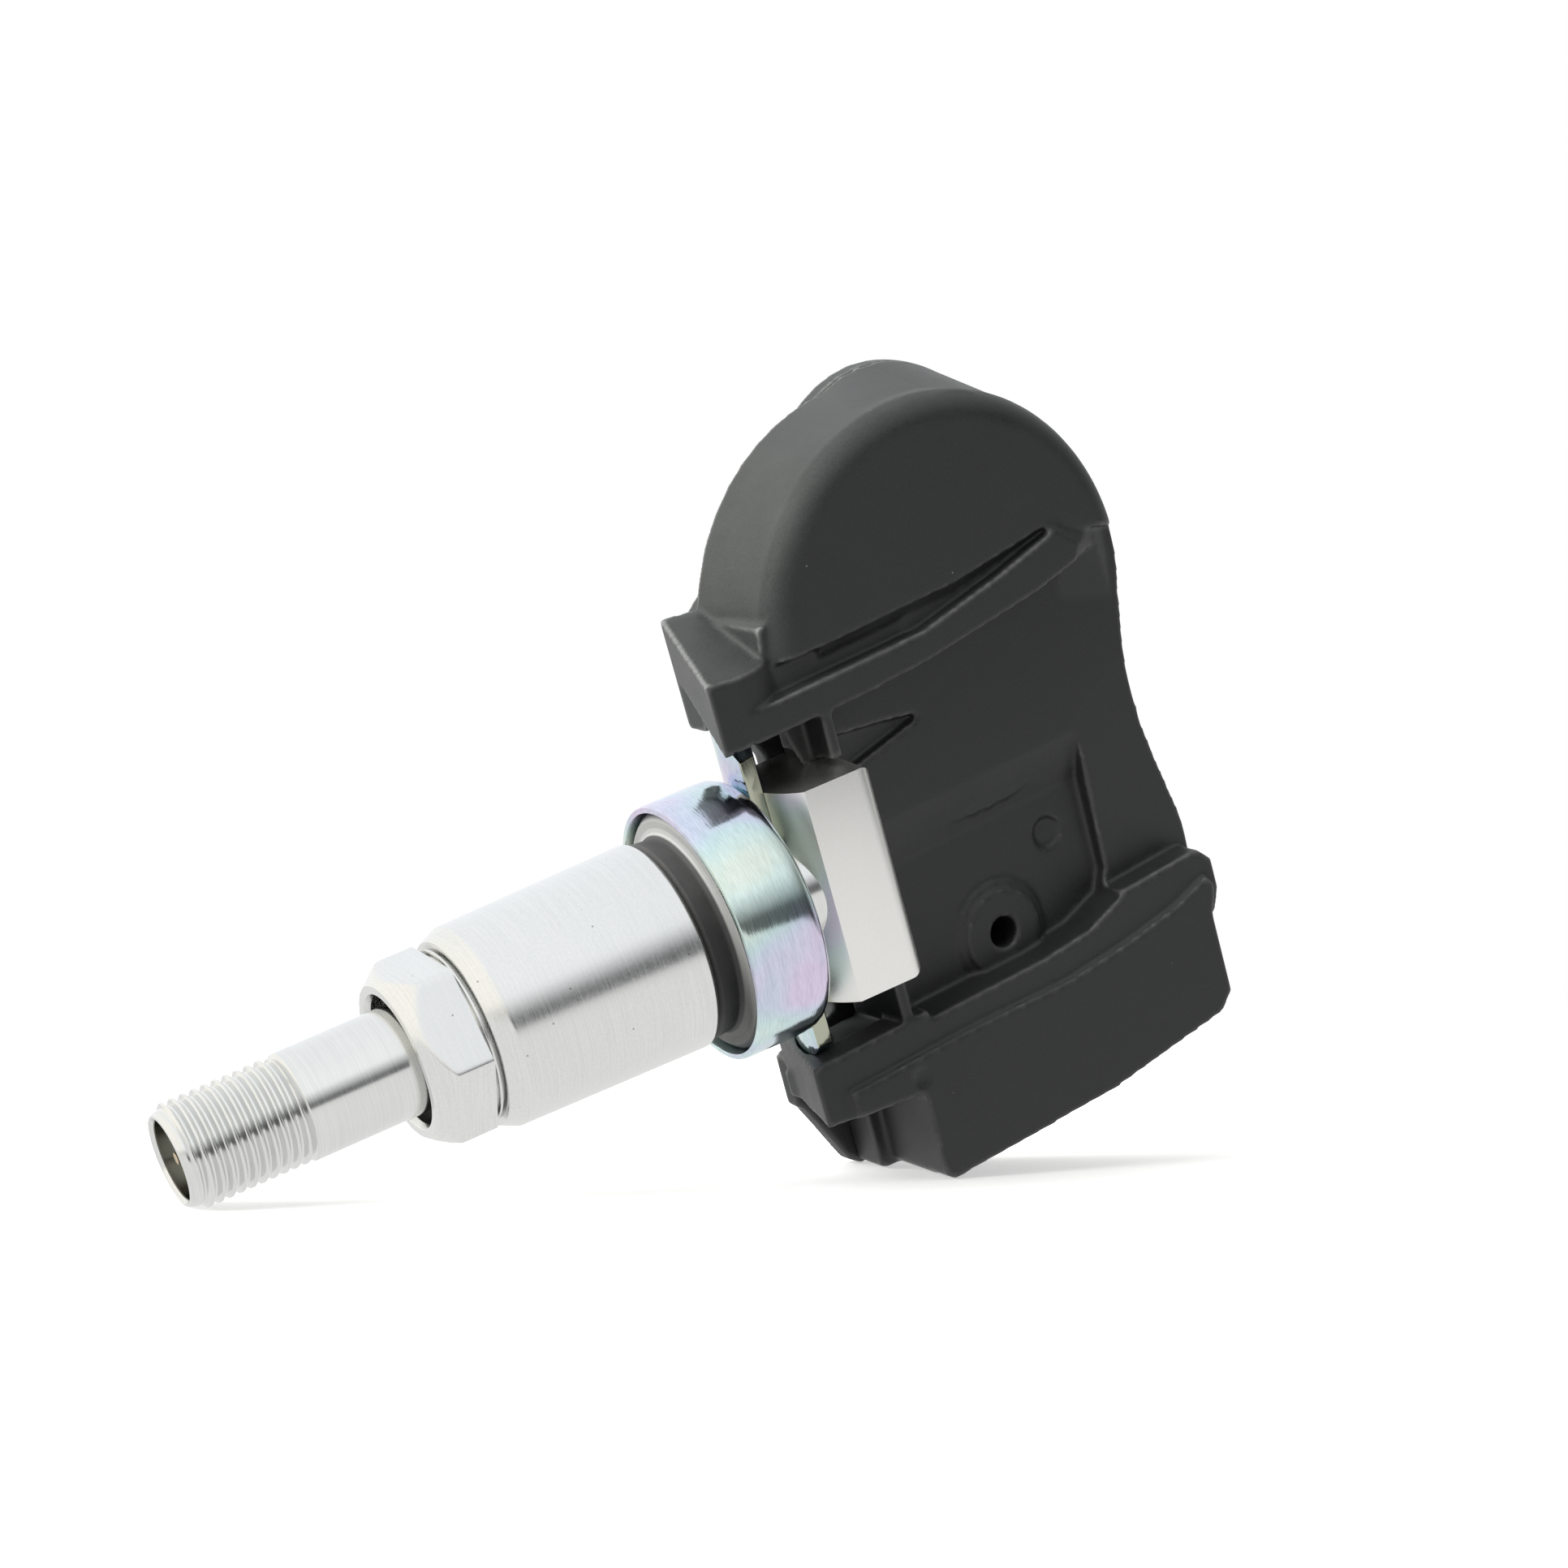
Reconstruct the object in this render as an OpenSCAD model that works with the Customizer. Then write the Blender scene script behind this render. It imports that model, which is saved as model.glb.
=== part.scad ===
// Tyre pressure sensor with a clamp-in valve.
// An aluminium valve stem ends in a T-head, which swivels behind a curved plate
// held by the two ears of a nylon housing. A cup washer, a rubber grommet and a
// collar nut clamp the stem to the rim; the housing holds cell, board and sensor.
// Frame: the stem lies on X with its tip at -X, +Z runs along the housing to the
// round battery end, +Y is the back. Origin: the grommet's sealing face.

/* [Valve stem] */
// Distance from the sealing face to the tip of the stem
tip_reach = 38; // [34:0.5:46]
// Outside diameter of the valve thread
thread_d = 7.7; // [7.5:0.05:8]
// Thread pitch, 32 turns to the inch
thread_pitch = 0.794; // [0.7:0.001:1]
// Turns on the valve thread
thread_turns = 10; // [8:1:12]
// Diameter of the plain shank behind the thread
shank_d = 7.8; // [7.5:0.1:8.4]
// Diameter of the thicker tail, which carries the nut's thread
tail_d = 8.4; // [8.2:0.1:9]
// Diameter of the air bore at the mouth
mouth_d = 5.75; // [5.2:0.05:6]

/* [Swivel] */
// Radius of the T-head's bearing face and of the plate it slides on
swivel_r = 7; // [6:0.25:9]
// Distance from the sealing face to the swivel axis
swivel_x = 16.33; // [15:0.05:18]
// Thickness of the curved plate
plate_t = 1.2; // [0.8:0.1:1.6]
// Width of the T-head across the stem
head_w = 9.3; // [8:0.1:11]
// Length of the T-head along the housing
head_l = 16; // [14:0.5:18]
// Tilt of the housing on the stem, as stored
rest_tilt = 6.2; // [0:0.1:12]

/* [Clamping parts] */
// Size of the nut's hexagon across its flats
hex_af = 12; // [11:0.5:14]
// Length of the hexagon
hex_l = 4.9; // [4:0.1:8]
// Diameter of the nut's sleeve at the rim end
sleeve_d = 15.2; // [14:0.1:17]
// Length of the whole nut
nut_l = 21; // [18:0.5:26]
// Outside diameter of the cup washer
ring_d = 19; // [18:0.25:22]
// Depth of the cup washer
ring_l = 6.25; // [5:0.25:8]
// Sheet thickness of the cup washer
ring_t = 0.5; // [0.4:0.05:0.8]
// Diameter of the grommet's collar under the nut
collar_d = 14.7; // [13.5:0.1:15.5]
// Diameter of the grommet's spigot, which centres it in the rim hole
spigot_d = 11.3; // [11:0.1:11.5]

/* [Housing] */
// Outside radius of the round battery end
dome_r = 15.6; // [14:0.1:17]
// Depth of the moulded shell at the round end
shell_depth = 9.15; // [8:0.05:13]
// Wall thickness of the shell
wall = 1.4; // [1:0.1:2]
// Thickness of the back cover
cover_t = 1.5; // [1.2:0.1:2]
// Height of the recess that holds the T-head, between the ears
recess_l = 23.7; // [22:0.1:26]
// Radius of the pressure port's boss
port_boss_r = 3.25; // [2.5:0.05:4]
// Diameter of the pressure port
port_d = 2.3; // [1.5:0.1:3]

/* [Electronics] */
// Diameter of the coin cell
cell_d = 20; // [16:0.5:20.4]
// Thickness of the coin cell
cell_t = 3.2; // [1.6:0.1:3.2]
// Thickness of the circuit board
board_t = 0.8; // [0.6:0.1:1.6]

/* [Show] */
// Sub-part to draw

/* [Hidden] */
$fn = 96;
eps = 0.01;
fit = 0.03;
gap = 0.25;
tip_x = -tip_reach;
thread_x0 = tip_x + 1.05;
thread_x1 = thread_x0 + thread_turns * thread_pitch;
thread_h = 0.42;
shank_x1 = -17;
head_back = swivel_x + 0.3;
ridge_x = swivel_x - sqrt(pow(swivel_r, 2) - pow(head_w / 2, 2));
nut_front = -nut_l - 0.05;
hex_back = nut_front + hex_l;
ring_back = swivel_x - swivel_r - plate_t - 0.03;
ring_front = ring_back - ring_l;
seat_x = ring_front + 0.3;
core_head_x = tip_x + 1.6;
// the housing frame has its origin on the swivel axis
dome_x = 11.5;
dome_z = 14.6;
split_y = 7.4;
dome_y = split_y - shell_depth;
mid_y = -0.2;
pocket_y = 1.2;
rib_y = -2.1;
lobe_y = -2.6;
end_tilt = 18;
end_d = swivel_r + plate_t + 0.55;
recess_z0 = -11.9;
recess_z1 = recess_z0 + recess_l;
plate_z0 = recess_z0 - 1.7;
plate_z1 = recess_z1 + 1.7;
port_x = 10;
port_z = -10.3;
board_y1 = split_y - 0.7;
board_y0 = board_y1 - board_t;
cell_x = 12.6;
cell_z = 17.4;
cell_y = mid_y + wall + 0.05;
head_r = 4.95;
head_half = head_l / 2 + 0.3;

// Turned solids along X: points are [x, radius]
module turned(points) {
    rotate([90, 0, 90]) rotate_extrude() polygon([for (p = points) [p[1], p[0]]]);
}

// A round bar along X from x0 to x1
module bar(x0, x1, r, r2 = -1) {
    translate([x0, 0, 0]) rotate([0, 90, 0])
        cylinder(h = x1 - x0, r1 = r, r2 = r2 < 0 ? r : r2);
}

// A profile in X and Z, drawn from depth y0 to y1
module slab(y0, y1) {
    translate([0, y1, 0]) rotate([90, 0, 0]) linear_extrude(y1 - y0) children();
}

// A profile in depth and height, drawn from x0 to x1
module along_x(x0, x1) {
    translate([x0, 0, 0]) rotate([90, 0, 90]) linear_extrude(x1 - x0) children();
}

// A round disc that faces front and back, from depth y0 to y1
module disc(x, z, r, y0, y1) {
    translate([x, y1, z]) rotate([90, 0, 0]) cylinder(h = y1 - y0, r = r);
}

// Moves a piece from the housing frame to its place on the stem
module on_housing() {
    translate([swivel_x, 0, 0]) rotate([0, 0, rest_tilt]) children();
}

// Stem: valve thread, shank, tail and T-head turned and milled from one bar
module valve_stem() {
    color("silver") difference() {
        union() {
            turned(concat(
                [[tip_x, 0], [tip_x, mouth_d / 2 + 0.35], [tip_x + 0.45, thread_d / 2 - thread_h]],
                [[thread_x0 - 0.2, thread_d / 2 - thread_h]],
                [for (i = [0 : thread_turns - 1], k = [0 : 2])
                    [thread_x0 + (i + [0, 0.42, 0.58][k]) * thread_pitch,
                        thread_d / 2 - [thread_h, 0, 0][k]]],
                [[thread_x1, thread_d / 2 - thread_h], [thread_x1 + 0.45, shank_d / 2]],
                [[shank_x1, shank_d / 2], [shank_x1 + 0.3, tail_d / 2]],
                [[head_back - 2, tail_d / 2], [head_back - 2, 0]]));
            stem_head();
        }
        stem_bore();
    }
}

// T-head: its bearing face is a cylinder about the swivel axis
module stem_head() {
    corner_r = 1.3;
    end_r = 1.1;
    intersection() {
        translate([swivel_x, 0, -head_l / 2]) cylinder(h = head_l, r = swivel_r);
        translate([0, 0, -head_l / 2]) linear_extrude(head_l) union() {
            translate([ridge_x - 4, -head_w / 2])
                square([head_back - corner_r - ridge_x + 4, head_w]);
            translate([ridge_x - 4, -head_w / 2 + corner_r])
                square([head_back - ridge_x + 4, head_w - 2 * corner_r]);
            for (s = [-1, 1])
                translate([head_back - corner_r, s * (head_w / 2 - corner_r)])
                    circle(r = corner_r);
        }
        slab(-head_w, head_w) union() {
            translate([ridge_x - 4, -head_l / 2]) square([head_back - end_r - ridge_x + 4, head_l]);
            translate([ridge_x - 4, -head_l / 2 + end_r])
                square([head_back - ridge_x + 4, head_l - 2 * end_r]);
            for (s = [-1, 1])
                translate([head_back - end_r, s * (head_l / 2 - end_r)]) circle(r = end_r);
        }
    }
}

// Air passage: wide core chamber, sealing cone, then a small hole to the tyre
module stem_bore() {
    turned([[tip_x - 1, 0], [tip_x - 1, mouth_d / 2 + 0.7], [tip_x + 0.35, mouth_d / 2],
        [core_head_x - 0.4, mouth_d / 2 - 0.1], [core_head_x, 2.6], [core_head_x + 4, 2.6],
        [core_head_x + 5.4, 2.1], [core_head_x + 14.4, 2.1], [core_head_x + 15.2, 1.2],
        [head_back + 1, 1.2], [head_back + 1, 0]]);
}

// Valve core: slotted brass head with a barrel below it
module core_barrel() {
    x = core_head_x;
    color("gold") difference() {
        turned([[x, 0], [x, 2.3], [x + 0.3, 2.57], [x + 3.3, 2.57], [x + 3.3, 1.6],
            [x + 3.9, 1.6], [x + 3.9, 1.75], [x + 11, 1.75], [x + 11, 0]]);
        bar(x + 1.4, x + 9.6, 1.3);
        bar(x - 1, x + 12, 0.5);
        for (s = [-1, 1]) translate([x - eps, s > 0 ? 0.85 : -0.85 - 1.8, -3])
            cube([1.6, 1.8, 6]);
        for (a = [0, 180]) rotate([a, 0, 0]) translate([x + 8.4, 0, 0])
            cylinder(h = 3, r = 0.5);
    }
}

// Seal between the barrel and the stem's cone
module core_gasket() {
    x = core_head_x;
    color("firebrick") turned([[x + 3.95 + eps, 1.78], [x + 3.95 + eps, 2.35],
        [x + 4.4, 2.35], [x + 5.2, 2.05], [x + 5.2, 1.78]]);
}

// Pin that a gauge or pump pushes in
module core_pin() {
    x = core_head_x;
    color("peru") union() {
        bar(x - 1.1, x + 12.7, 0.42);
        bar(x + 2.2, x + 2.6, 1.05);
        bar(x + 12.3, x + 12.7, 1.5);
    }
}

// Rubber seal on the pin, drawn against the barrel's end
module core_seal() {
    x = core_head_x;
    color("dimgray") difference() {
        bar(x + 11.05, x + 12.28, 1.55);
        bar(x + 10, x + 13, 0.44);
    }
}

// Coil spring that lifts the pin
module core_spring() {
    x = core_head_x + 2.65;
    length = 6.9;
    turns = 8;
    color("lightgray") intersection() {
        translate([x, 0, 0]) rotate([0, 90, 0])
            linear_extrude(length, twist = 360 * turns, slices = 12 * turns, $fn = 8)
                translate([0.85, 0]) circle(r = 0.2, $fn = 8);
        bar(x, x + length, 1.25);
    }
}

// Collar nut: hexagon and clamping sleeve turned from one bar
module collar_nut() {
    hex_r = hex_af / sqrt(3);
    cone_x = hex_back + 0.4;
    color("gainsboro") difference() {
        union() {
            intersection() {
                translate([nut_front, 0, 0]) rotate([0, 90, 0]) rotate([0, 0, -28.8])
                    cylinder(h = hex_l + 0.1, r = hex_r, $fn = 6);
                turned([[nut_front, 0], [nut_front, 5.55], [nut_front + 1.9, hex_r + 0.15],
                    [hex_back + 0.1, hex_r + 0.15], [hex_back + 0.1, 0]]);
            }
            turned([[hex_back - 0.2, 0], [hex_back - 0.2, hex_af / 2 - 0.15],
                [hex_back, hex_af / 2 - 0.15], [hex_back + 0.12, hex_r],
                [cone_x, hex_r], [cone_x + 0.95, sleeve_d / 2 - 0.25],
                [-0.35, sleeve_d / 2], [-0.05, sleeve_d / 2 - 0.3], [-0.05, 0]]);
        }
        turned([[nut_front - 1, 0], [nut_front - 1, 5.3], [nut_front + 0.45, 4.75],
            [nut_front + 4.2, 4.75], [nut_front + 4.7, tail_d / 2 + fit],
            [-8, tail_d / 2 + fit], [-7.2, spigot_d / 2 + 0.1], [1, spigot_d / 2 + 0.1], [1, 0]]);
    }
}

// Rubber grommet: flange in the cup, collar against the rim, spigot in its hole
module sealing_grommet() {
    flange_r = ring_d / 2 - ring_t - 0.12;
    collar_r = collar_d / 2;
    color("dimgray") difference() {
        turned([[-6.5, 0], [-6.5, spigot_d / 2 - 0.5], [-6, spigot_d / 2], [0, spigot_d / 2],
            [0, collar_r - 0.3], [0.3, collar_r], [seat_x - 0.5, collar_r - 0.15],
            [seat_x - 0.1, collar_r + 0.15], [seat_x, collar_r + 0.5],
            [seat_x, flange_r - 0.5], [seat_x + 0.5, flange_r],
            [ring_back - 2.2, flange_r], [ring_back - 0.75, flange_r - 1.45],
            [ring_back - 0.75, 0]]);
        bar(-8, ring_back + 1, tail_d / 2 + 0.01);
    }
}

// Deep-drawn cup washer with rolled bottom corner
module cup_washer() {
    r = ring_d / 2;
    corner = 1.6;
    arc = [for (a = [0 : 15 : 90]) [ring_back - corner + corner * sin(a), r - corner + corner * cos(a)]];
    inner = [for (a = [90 : -15 : 0])
        [ring_back - corner + (corner - ring_t) * sin(a), r - corner + (corner - ring_t) * cos(a)]];
    color("lightsteelblue") difference() {
        turned(concat([[ring_front, r - ring_t], [ring_front + 0.08, r - 0.06], [ring_front + 0.3, r]],
            arc, [[ring_back, tail_d / 2 + 0.06], [ring_back - 0.7, tail_d / 2 + 0.06],
            [ring_back - 0.7, r - corner]], inner));
    }
}

// Curved plate: the T-head slides on its inside, its slot is open to the front.
// Its front corners are clipped, its wider back half sits in the ears' grooves.
module saddle_plate() {
    front = 6;
    back = 65;
    slot_back = 59;
    slot = tail_d / 2 + 0.2;
    color("lightsteelblue") on_housing() intersection() {
        difference() {
            translate([0, 0, plate_z0]) cylinder(h = plate_z1 - plate_z0, r = swivel_r + plate_t);
            translate([0, 0, plate_z0 - 1])
                cylinder(h = plate_z1 - plate_z0 + 2, r = swivel_r + 0.02);
            translate([0, 0, -slot]) linear_extrude(2 * slot)
                sector(front + 10, slot_back, swivel_r * 3);
        }
        translate([0, 0, plate_z0 - 1]) linear_extrude(plate_z1 - plate_z0 + 2)
            sector(front, back, swivel_r * 3);
        along_x(-20, 20) polygon([[-3, recess_z0 + 0.8], [-0.8, recess_z0 + 0.8],
            [0, recess_z0 + 0.05], [0.8, recess_z0 + 0.05], [0.8, plate_z0], [20, plate_z0],
            [20, plate_z1], [0.8, plate_z1], [0.8, recess_z1 - 0.4], [0, recess_z1 - 0.4],
            [-0.8, recess_z1 - 1.1], [-3, recess_z1 - 1.1]]);
    }
}

// Wedge about the swivel axis, from an angle to the front to one to the back
module sector(front, back, r) {
    polygon([[0, 0], [-r * cos(front), -r * sin(front)], [-r * 1.2, 0],
        [-r * cos(back / 2) * 1.2, r * sin(back / 2) * 1.2], [-r * cos(back), r * sin(back)]]);
}

// A smooth line through hand-set points, with n steps between two of them
function smooth(p, n = 5) = [for (i = [1 : len(p) - 3], k = [0 : n - 1]) let (t = k / n)
    ((2 * p[i]) + (p[i + 1] - p[i - 1]) * t
    + (2 * p[i - 1] - 5 * p[i] + 4 * p[i + 1] - p[i + 2]) * t * t
    + (3 * p[i] - p[i - 1] - 3 * p[i + 1] + p[i + 2]) * t * t * t) / 2];

// Far side of the housing, from the round end down to the foot
far_side = smooth([[27.2, 18], [27.05, 14.6], [26.35, 9.4], [25.65, 5.2], [25.7, 0.6], [26.4, -3.6],
    [27.3, -7.9], [27.45, -10.5], [26.9, -13.5], [26.5, -17]]);

// Outline of the housing seen from the front
module body_outline() {
    translate([dome_x, dome_z]) circle(r = dome_r);
    polygon(concat([[dome_x, dome_z]], far_side, [[26.6, -14.4], [26.5, -21.8], [25.2, -23.2],
        [14, -24.3], [-1.2, -24.6], [-1.8, -24], [-1.5, recess_z0 - 0.4], [-1.5, dome_z]]));
}

// Outline of the inner space at the battery end
module room_top(inset = 0) {
    i = wall + inset;
    neck_x = head_r + 0.1 + i;
    intersection() {
        translate([dome_x, dome_z]) circle(r = dome_r - i);
        polygon([[-9, plate_z1 + 0.1 + i], [1.3 + i, plate_z1 + 0.1 + i], [1.3 + i, head_half + i],
            [neck_x, head_half + i], [neck_x, 6], [30, 6], [30, 40], [-9, 40]]);
    }
}

// Outline of the inner space in the neck beside the T-head and in the wide foot
module room_foot(inset = 0) {
    i = wall + inset;
    neck_x = head_r + 0.1 + i;
    polygon([[neck_x, 10], [25.3 - i, 10], [25.6 - i, 5.2], [25.7 - i, 0.6], [26.4 - i, -3.6],
        [27.1 - i, -8], [27.1 - i, -10.5], [26.4 - i, -14.8], [26.3 - i, -21.6 + i / 2],
        [25 - i / 2, -23.3 + i], [14, -24.4 + i], [-1.1 + i * 1.1, -24.6 + i], [-1.6 + i, -23.6 + i],
        [-1.6 + i, plate_z0 - 0.1 - i], [1.3 + i, plate_z0 - 0.1 - i], [1.3 + i, -head_half - i],
        [neck_x, -head_half - i]]);
}

// The whole inner space, from depth y0 to y1
module room(y0, y1, inset = 0) {
    slab(y0, y1) room_top(inset);
    slab(y0, y1) room_foot(inset);
}

// Volume kept free for the T-head, the plate and the swing of the stem
module swivel_room() {
    translate([0, 0, -head_half]) linear_extrude(2 * head_half) polygon([[-4, -6], [1, -6], [1, 1.2],
        [2.3, 4.1], [2.3, 4.9], [-1.6, head_r + 0.6], [-4, head_r + 0.6]]);
    translate([0, 0, recess_z0]) linear_extrude(recess_l) polygon([[-20, -12], [-1.55, -12],
        [-1.55, 20], [-20, 20]]);
    intersection() {
        translate([0, 0, plate_z0 - 0.05]) cylinder(h = plate_z1 - plate_z0 + 0.1,
            r = swivel_r + plate_t + 0.04);
        translate([-20, 0.7, -20]) cube([20, 20, 40]);
    }
}

// Block that carries one end of the plate; the end face leans with the plate
module ear(z0, z1, rise0, rise1) {
    intersection() {
        translate([-20, 0, 0]) rotate([90, 0, 90]) linear_extrude(30)
            polygon([[rib_y, z0], [split_y, z0 + rise0], [split_y, z1 + rise1], [rib_y, z1]]);
        end_space();
    }
}

// Everything behind the leaning end faces of the two ears
module end_space() {
    rotate([0, 0, -end_tilt]) translate([-end_d, -30, -40]) cube([60, 60, 80]);
}

// Moulded front half of the housing
module housing_shell() {
    color([0.16, 0.16, 0.16]) on_housing() union() {
        difference() {
            union() {
                dome_face();
                back_foot(split_y);
                body();
                upper_rib();
                lower_lobe();
                ear(-16.5, recess_z0, 1.5, 0.2);
                upper_ear();
            }
            swivel_room();
            front_pocket();
            rib_groove();
            ear_relief();
            inner_room();
            disc(port_x, port_z, port_d / 2, -5, 8);
        }
        head_fins();
    }
}

// Space for the cell, the board and the antenna
module inner_room() {
    disc(cell_x, cell_z, cell_d / 2 + gap, cell_y - 0.05, split_y + 1);
    intersection() {
        room(cell_y - 0.05, split_y + 1);
        slab(cell_y - 1, split_y + 2) translate([neck_top(), 4]) square([40, 40]);
    }
    slab(dome_y + wall, split_y + 1) intersection() {
        room_top();
        polygon([[-9, 18], [13.5, 18.2], [23, 19.5], [23, 40], [-9, 40]]);
    }
    room(pocket_y + wall, split_y + 1);
    slab(lobe_y + wall + 0.4, split_y) polygon([[0.6, -17], [24.3, -17], [24.4, -20.8],
        [23.8, -21.4], [0.8, -22.6]]);
}

// Where the neck's inner space starts beside the cell
function neck_top() = head_r + 0.1 + wall;

// Raised round face over the cell, with a rolled front edge and a slightly flared wall
module dome_face() {
    roll = 2.1;
    intersection() {
        translate([dome_x, dome_y, dome_z]) rotate([-90, 0, 0]) rotate_extrude() polygon(concat(
            [[0, shell_depth], [0, 0]],
            [for (a = [0 : 10 : 90]) [dome_r - roll + roll * sin(a), roll - roll * cos(a)]],
            [[dome_r + 0.4, shell_depth]]));
        slab(dome_y - 1, split_y) polygon([[-9, 16.1], [12.2, 16.5], [21.2, 17.6], [23.4, 16.4],
            [30, 14.2], [30, 40], [-9, 40]]);
    }
}

// Rounded foot that stands proud at the back of the round end
module back_foot(y) {
    translate([14.3, -0.6, 22.1]) rotate([-90, 0, 0]) cylinder(h = y + 0.6, r1 = 7.5, r2 = 9.2);
}

// Upper ear: its top rises towards the back, and its front curves back to the round end
module upper_ear() {
    plan = concat([[-14, split_y], [-14, rib_y], [-7.5, rib_y]], smooth([[-9, rib_y], [-7.3, rib_y],
        [-4.9, -1.4], [-2.5, 0.1], [-0.2, 2], [1.6, 4.2], [3, 6]], 4), [[1.6, split_y]]);
    intersection() {
        translate([0, 0, recess_z1]) linear_extrude(14) polygon(plan);
        translate([-10.4, 0, 0]) rotate([0, 7.9, 0]) along_x(-8, 16) polygon([[rib_y, 0],
            [rib_y, 17.1], [6.5, 20.2], [split_y, 20.4], [split_y, 0]]);
        end_space();
    }
}

// Flat middle part, with a facet that falls away below the far side's crease
module body() {
    difference() {
        slab(mid_y, split_y) body_outline();
        intersection() {
            translate([18.8, mid_y, 2.3]) rotate([0, -29.3, 0]) along_x(-16, 16)
                polygon([[-1, 0], [0, 0], [0.7, -20], [-1, -20]]);
            translate([19.2, -6, -12]) cube([20, 12, 30]);
        }
    }
}

// Corner taken off the upper ear, below and behind its end face
module ear_relief() {
    along_x(-20, -7) polygon([[rib_y - 0.1, recess_z1 - 1], [rib_y - 0.1, recess_z1],
        [split_y + 1, recess_z1 + 4.4], [split_y + 1, recess_z1 - 1]]);
}

// Ledge above the T-head; it runs out towards the far side
module upper_rib() {
    intersection() {
        slab(rib_y, split_y - 1) polygon([[-12, recess_z1 - 0.1], [2, recess_z1], [8, recess_z1 + 0.3],
            [13, 12.7], [18.5, 13.4], [22, 14.2], [22.8, 15.4], [21, 17.1], [15.5, 15.7], [8.2, 14.3],
            [-12, 14.1]]);
        end_space();
    }
    slab(mid_y - 0.6, split_y - 1) polygon([[-5, 12.5], [12, 13.2], [21.5, 14.6], [22.5, 16], [21, 18],
        [0, 20], [-4, 19]]);
}

// Dark wedge between the ledge and the round end
module rib_groove() {
    slab(rib_y - 1, mid_y + 0.6) polygon([[8.6, 14.45], [14.5, 15.7], [20.7, 17.35], [16, 16.75],
        [12.2, 16.3], [9.4, 16.1]]);
}

// Raised band and foot below the port pocket, and the front of the lower ear
module lower_lobe() {
    intersection() {
        slab(rib_y, split_y - 1) polygon([[-12, recess_z0], [12, recess_z0 + 0.1], [15.5, -11.3],
            [18.5, -10.5], [26.4, -10.2], [27.5, -11.4], [27.5, -13.8], [26.7, -15.4], [20, -17],
            [-1.7, -17.4], [-12, -16.3]]);
        end_space();
    }
    slab(lobe_y, split_y - 1) polygon([[-7.6, -14.7], [3.3, -14.5], [12.5, -14.7], [18, -14.2],
        [23, -13.4], [26.3, -12.3], [26.9, -13.3], [26.2, -15.2], [26.2, -21.6], [24.8, -22.8],
        [14, -24.2], [-1.2, -24.5], [-1.9, -23.8], [-1.7, -17.8], [-2.2, -17.3], [-7.6, -16.7]]);
    slab(4.4, split_y) polygon([[-3, -24.2], [-3, -16], [2, -16], [2, -24.6], [-2.4, -24.6]]);
}

// Thin fins that keep the T-head from sliding out at its ends
module head_fins() {
    slab(rib_y + 0.1, 4.6) translate([-1.6, head_half + 0.1])
        square([0.9, recess_z1 - head_half + 0.4]);
    slab(rib_y + 0.1, 4.6) translate([-1.6, recess_z0 - 0.5])
        square([0.9, -head_half - recess_z0 + 0.4]);
}

// Sunk field around the pressure port, with a sloped upper side
module front_pocket() {
    difference() {
        intersection() {
            along_x(0.6, 19.9) polygon([[-10, 1.8], [mid_y, 1.8], [pocket_y, -2], [pocket_y, -20],
                [-10, -20]]);
            slab(-10, 10) polygon([[0, 3], [18.9, 3], [19.8, 1.2], [19.6, -9.2], [18.8, -10.9],
                [15.5, -12.1], [11, -12.5], [0, -12.5]]);
        }
        disc(port_x, port_z, port_boss_r + 0.55, pocket_y - 0.3, pocket_y + 1);
        disc(port_x, port_z, port_boss_r, pocket_y - 0.65, pocket_y + 1);
    }
    disc(16.1, -5, 1.2, pocket_y - 1, pocket_y + 0.35);
    disc(-1.7, -16.1, 0.75, lobe_y - 1, lobe_y + 0.2);
    slab(mid_y - 1, mid_y + 1.1) polygon([[0, 6.4], [4.6, 7.4], [7.8, 8.1], [4.6, 8.7], [0, 9.3]]);
}

// Welded back cover with a locating rim
module back_cover() {
    y = split_y + eps;
    color([0.2, 0.2, 0.2]) on_housing() union() {
        slab(y, split_y + cover_t) cover_outline();
        disc(14.3, 22.1, 9.2, y, split_y + cover_t);
        difference() {
            room(split_y - 0.6, y + 0.5, 0.1);
            room(split_y - 0.7, y + 0.6, 1.1);
        }
    }
}

// Cover outline: set in a little at the round end, wider behind the two ears
module cover_outline() {
    translate([dome_x + 0.4, dome_z]) circle(r = dome_r - 0.4);
    polygon(concat([[dome_x, dome_z]], far_side, [[26.4, -14.4], [26.3, -21.6], [25, -23],
        [14, -24.1], [-1.2, -24.7], [-2.8, -24.7], [-3.7, -24], [-6.1, -18.8], [-6.7, -18.2],
        [-6.6, -14.4], [-1.5, -12.6], [-1.5, 12.5], [-5.2, 14.4], [-4.6, 18.6], [-1.8, 20.6]]));
}

// Coin cell in the round end
module coin_cell() {
    r = cell_d / 2;
    color("silver") on_housing() translate([cell_x, cell_y + 0.2, cell_z]) rotate([-90, 0, 0])
        rotate_extrude() polygon([[0, 0], [r - 1.9, 0], [r - 1.9, 0.2], [r - 0.6, 0.4],
            [r, 0.8], [r, cell_t - 0.2], [r - 0.2, cell_t], [0, cell_t]]);
}

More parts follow.
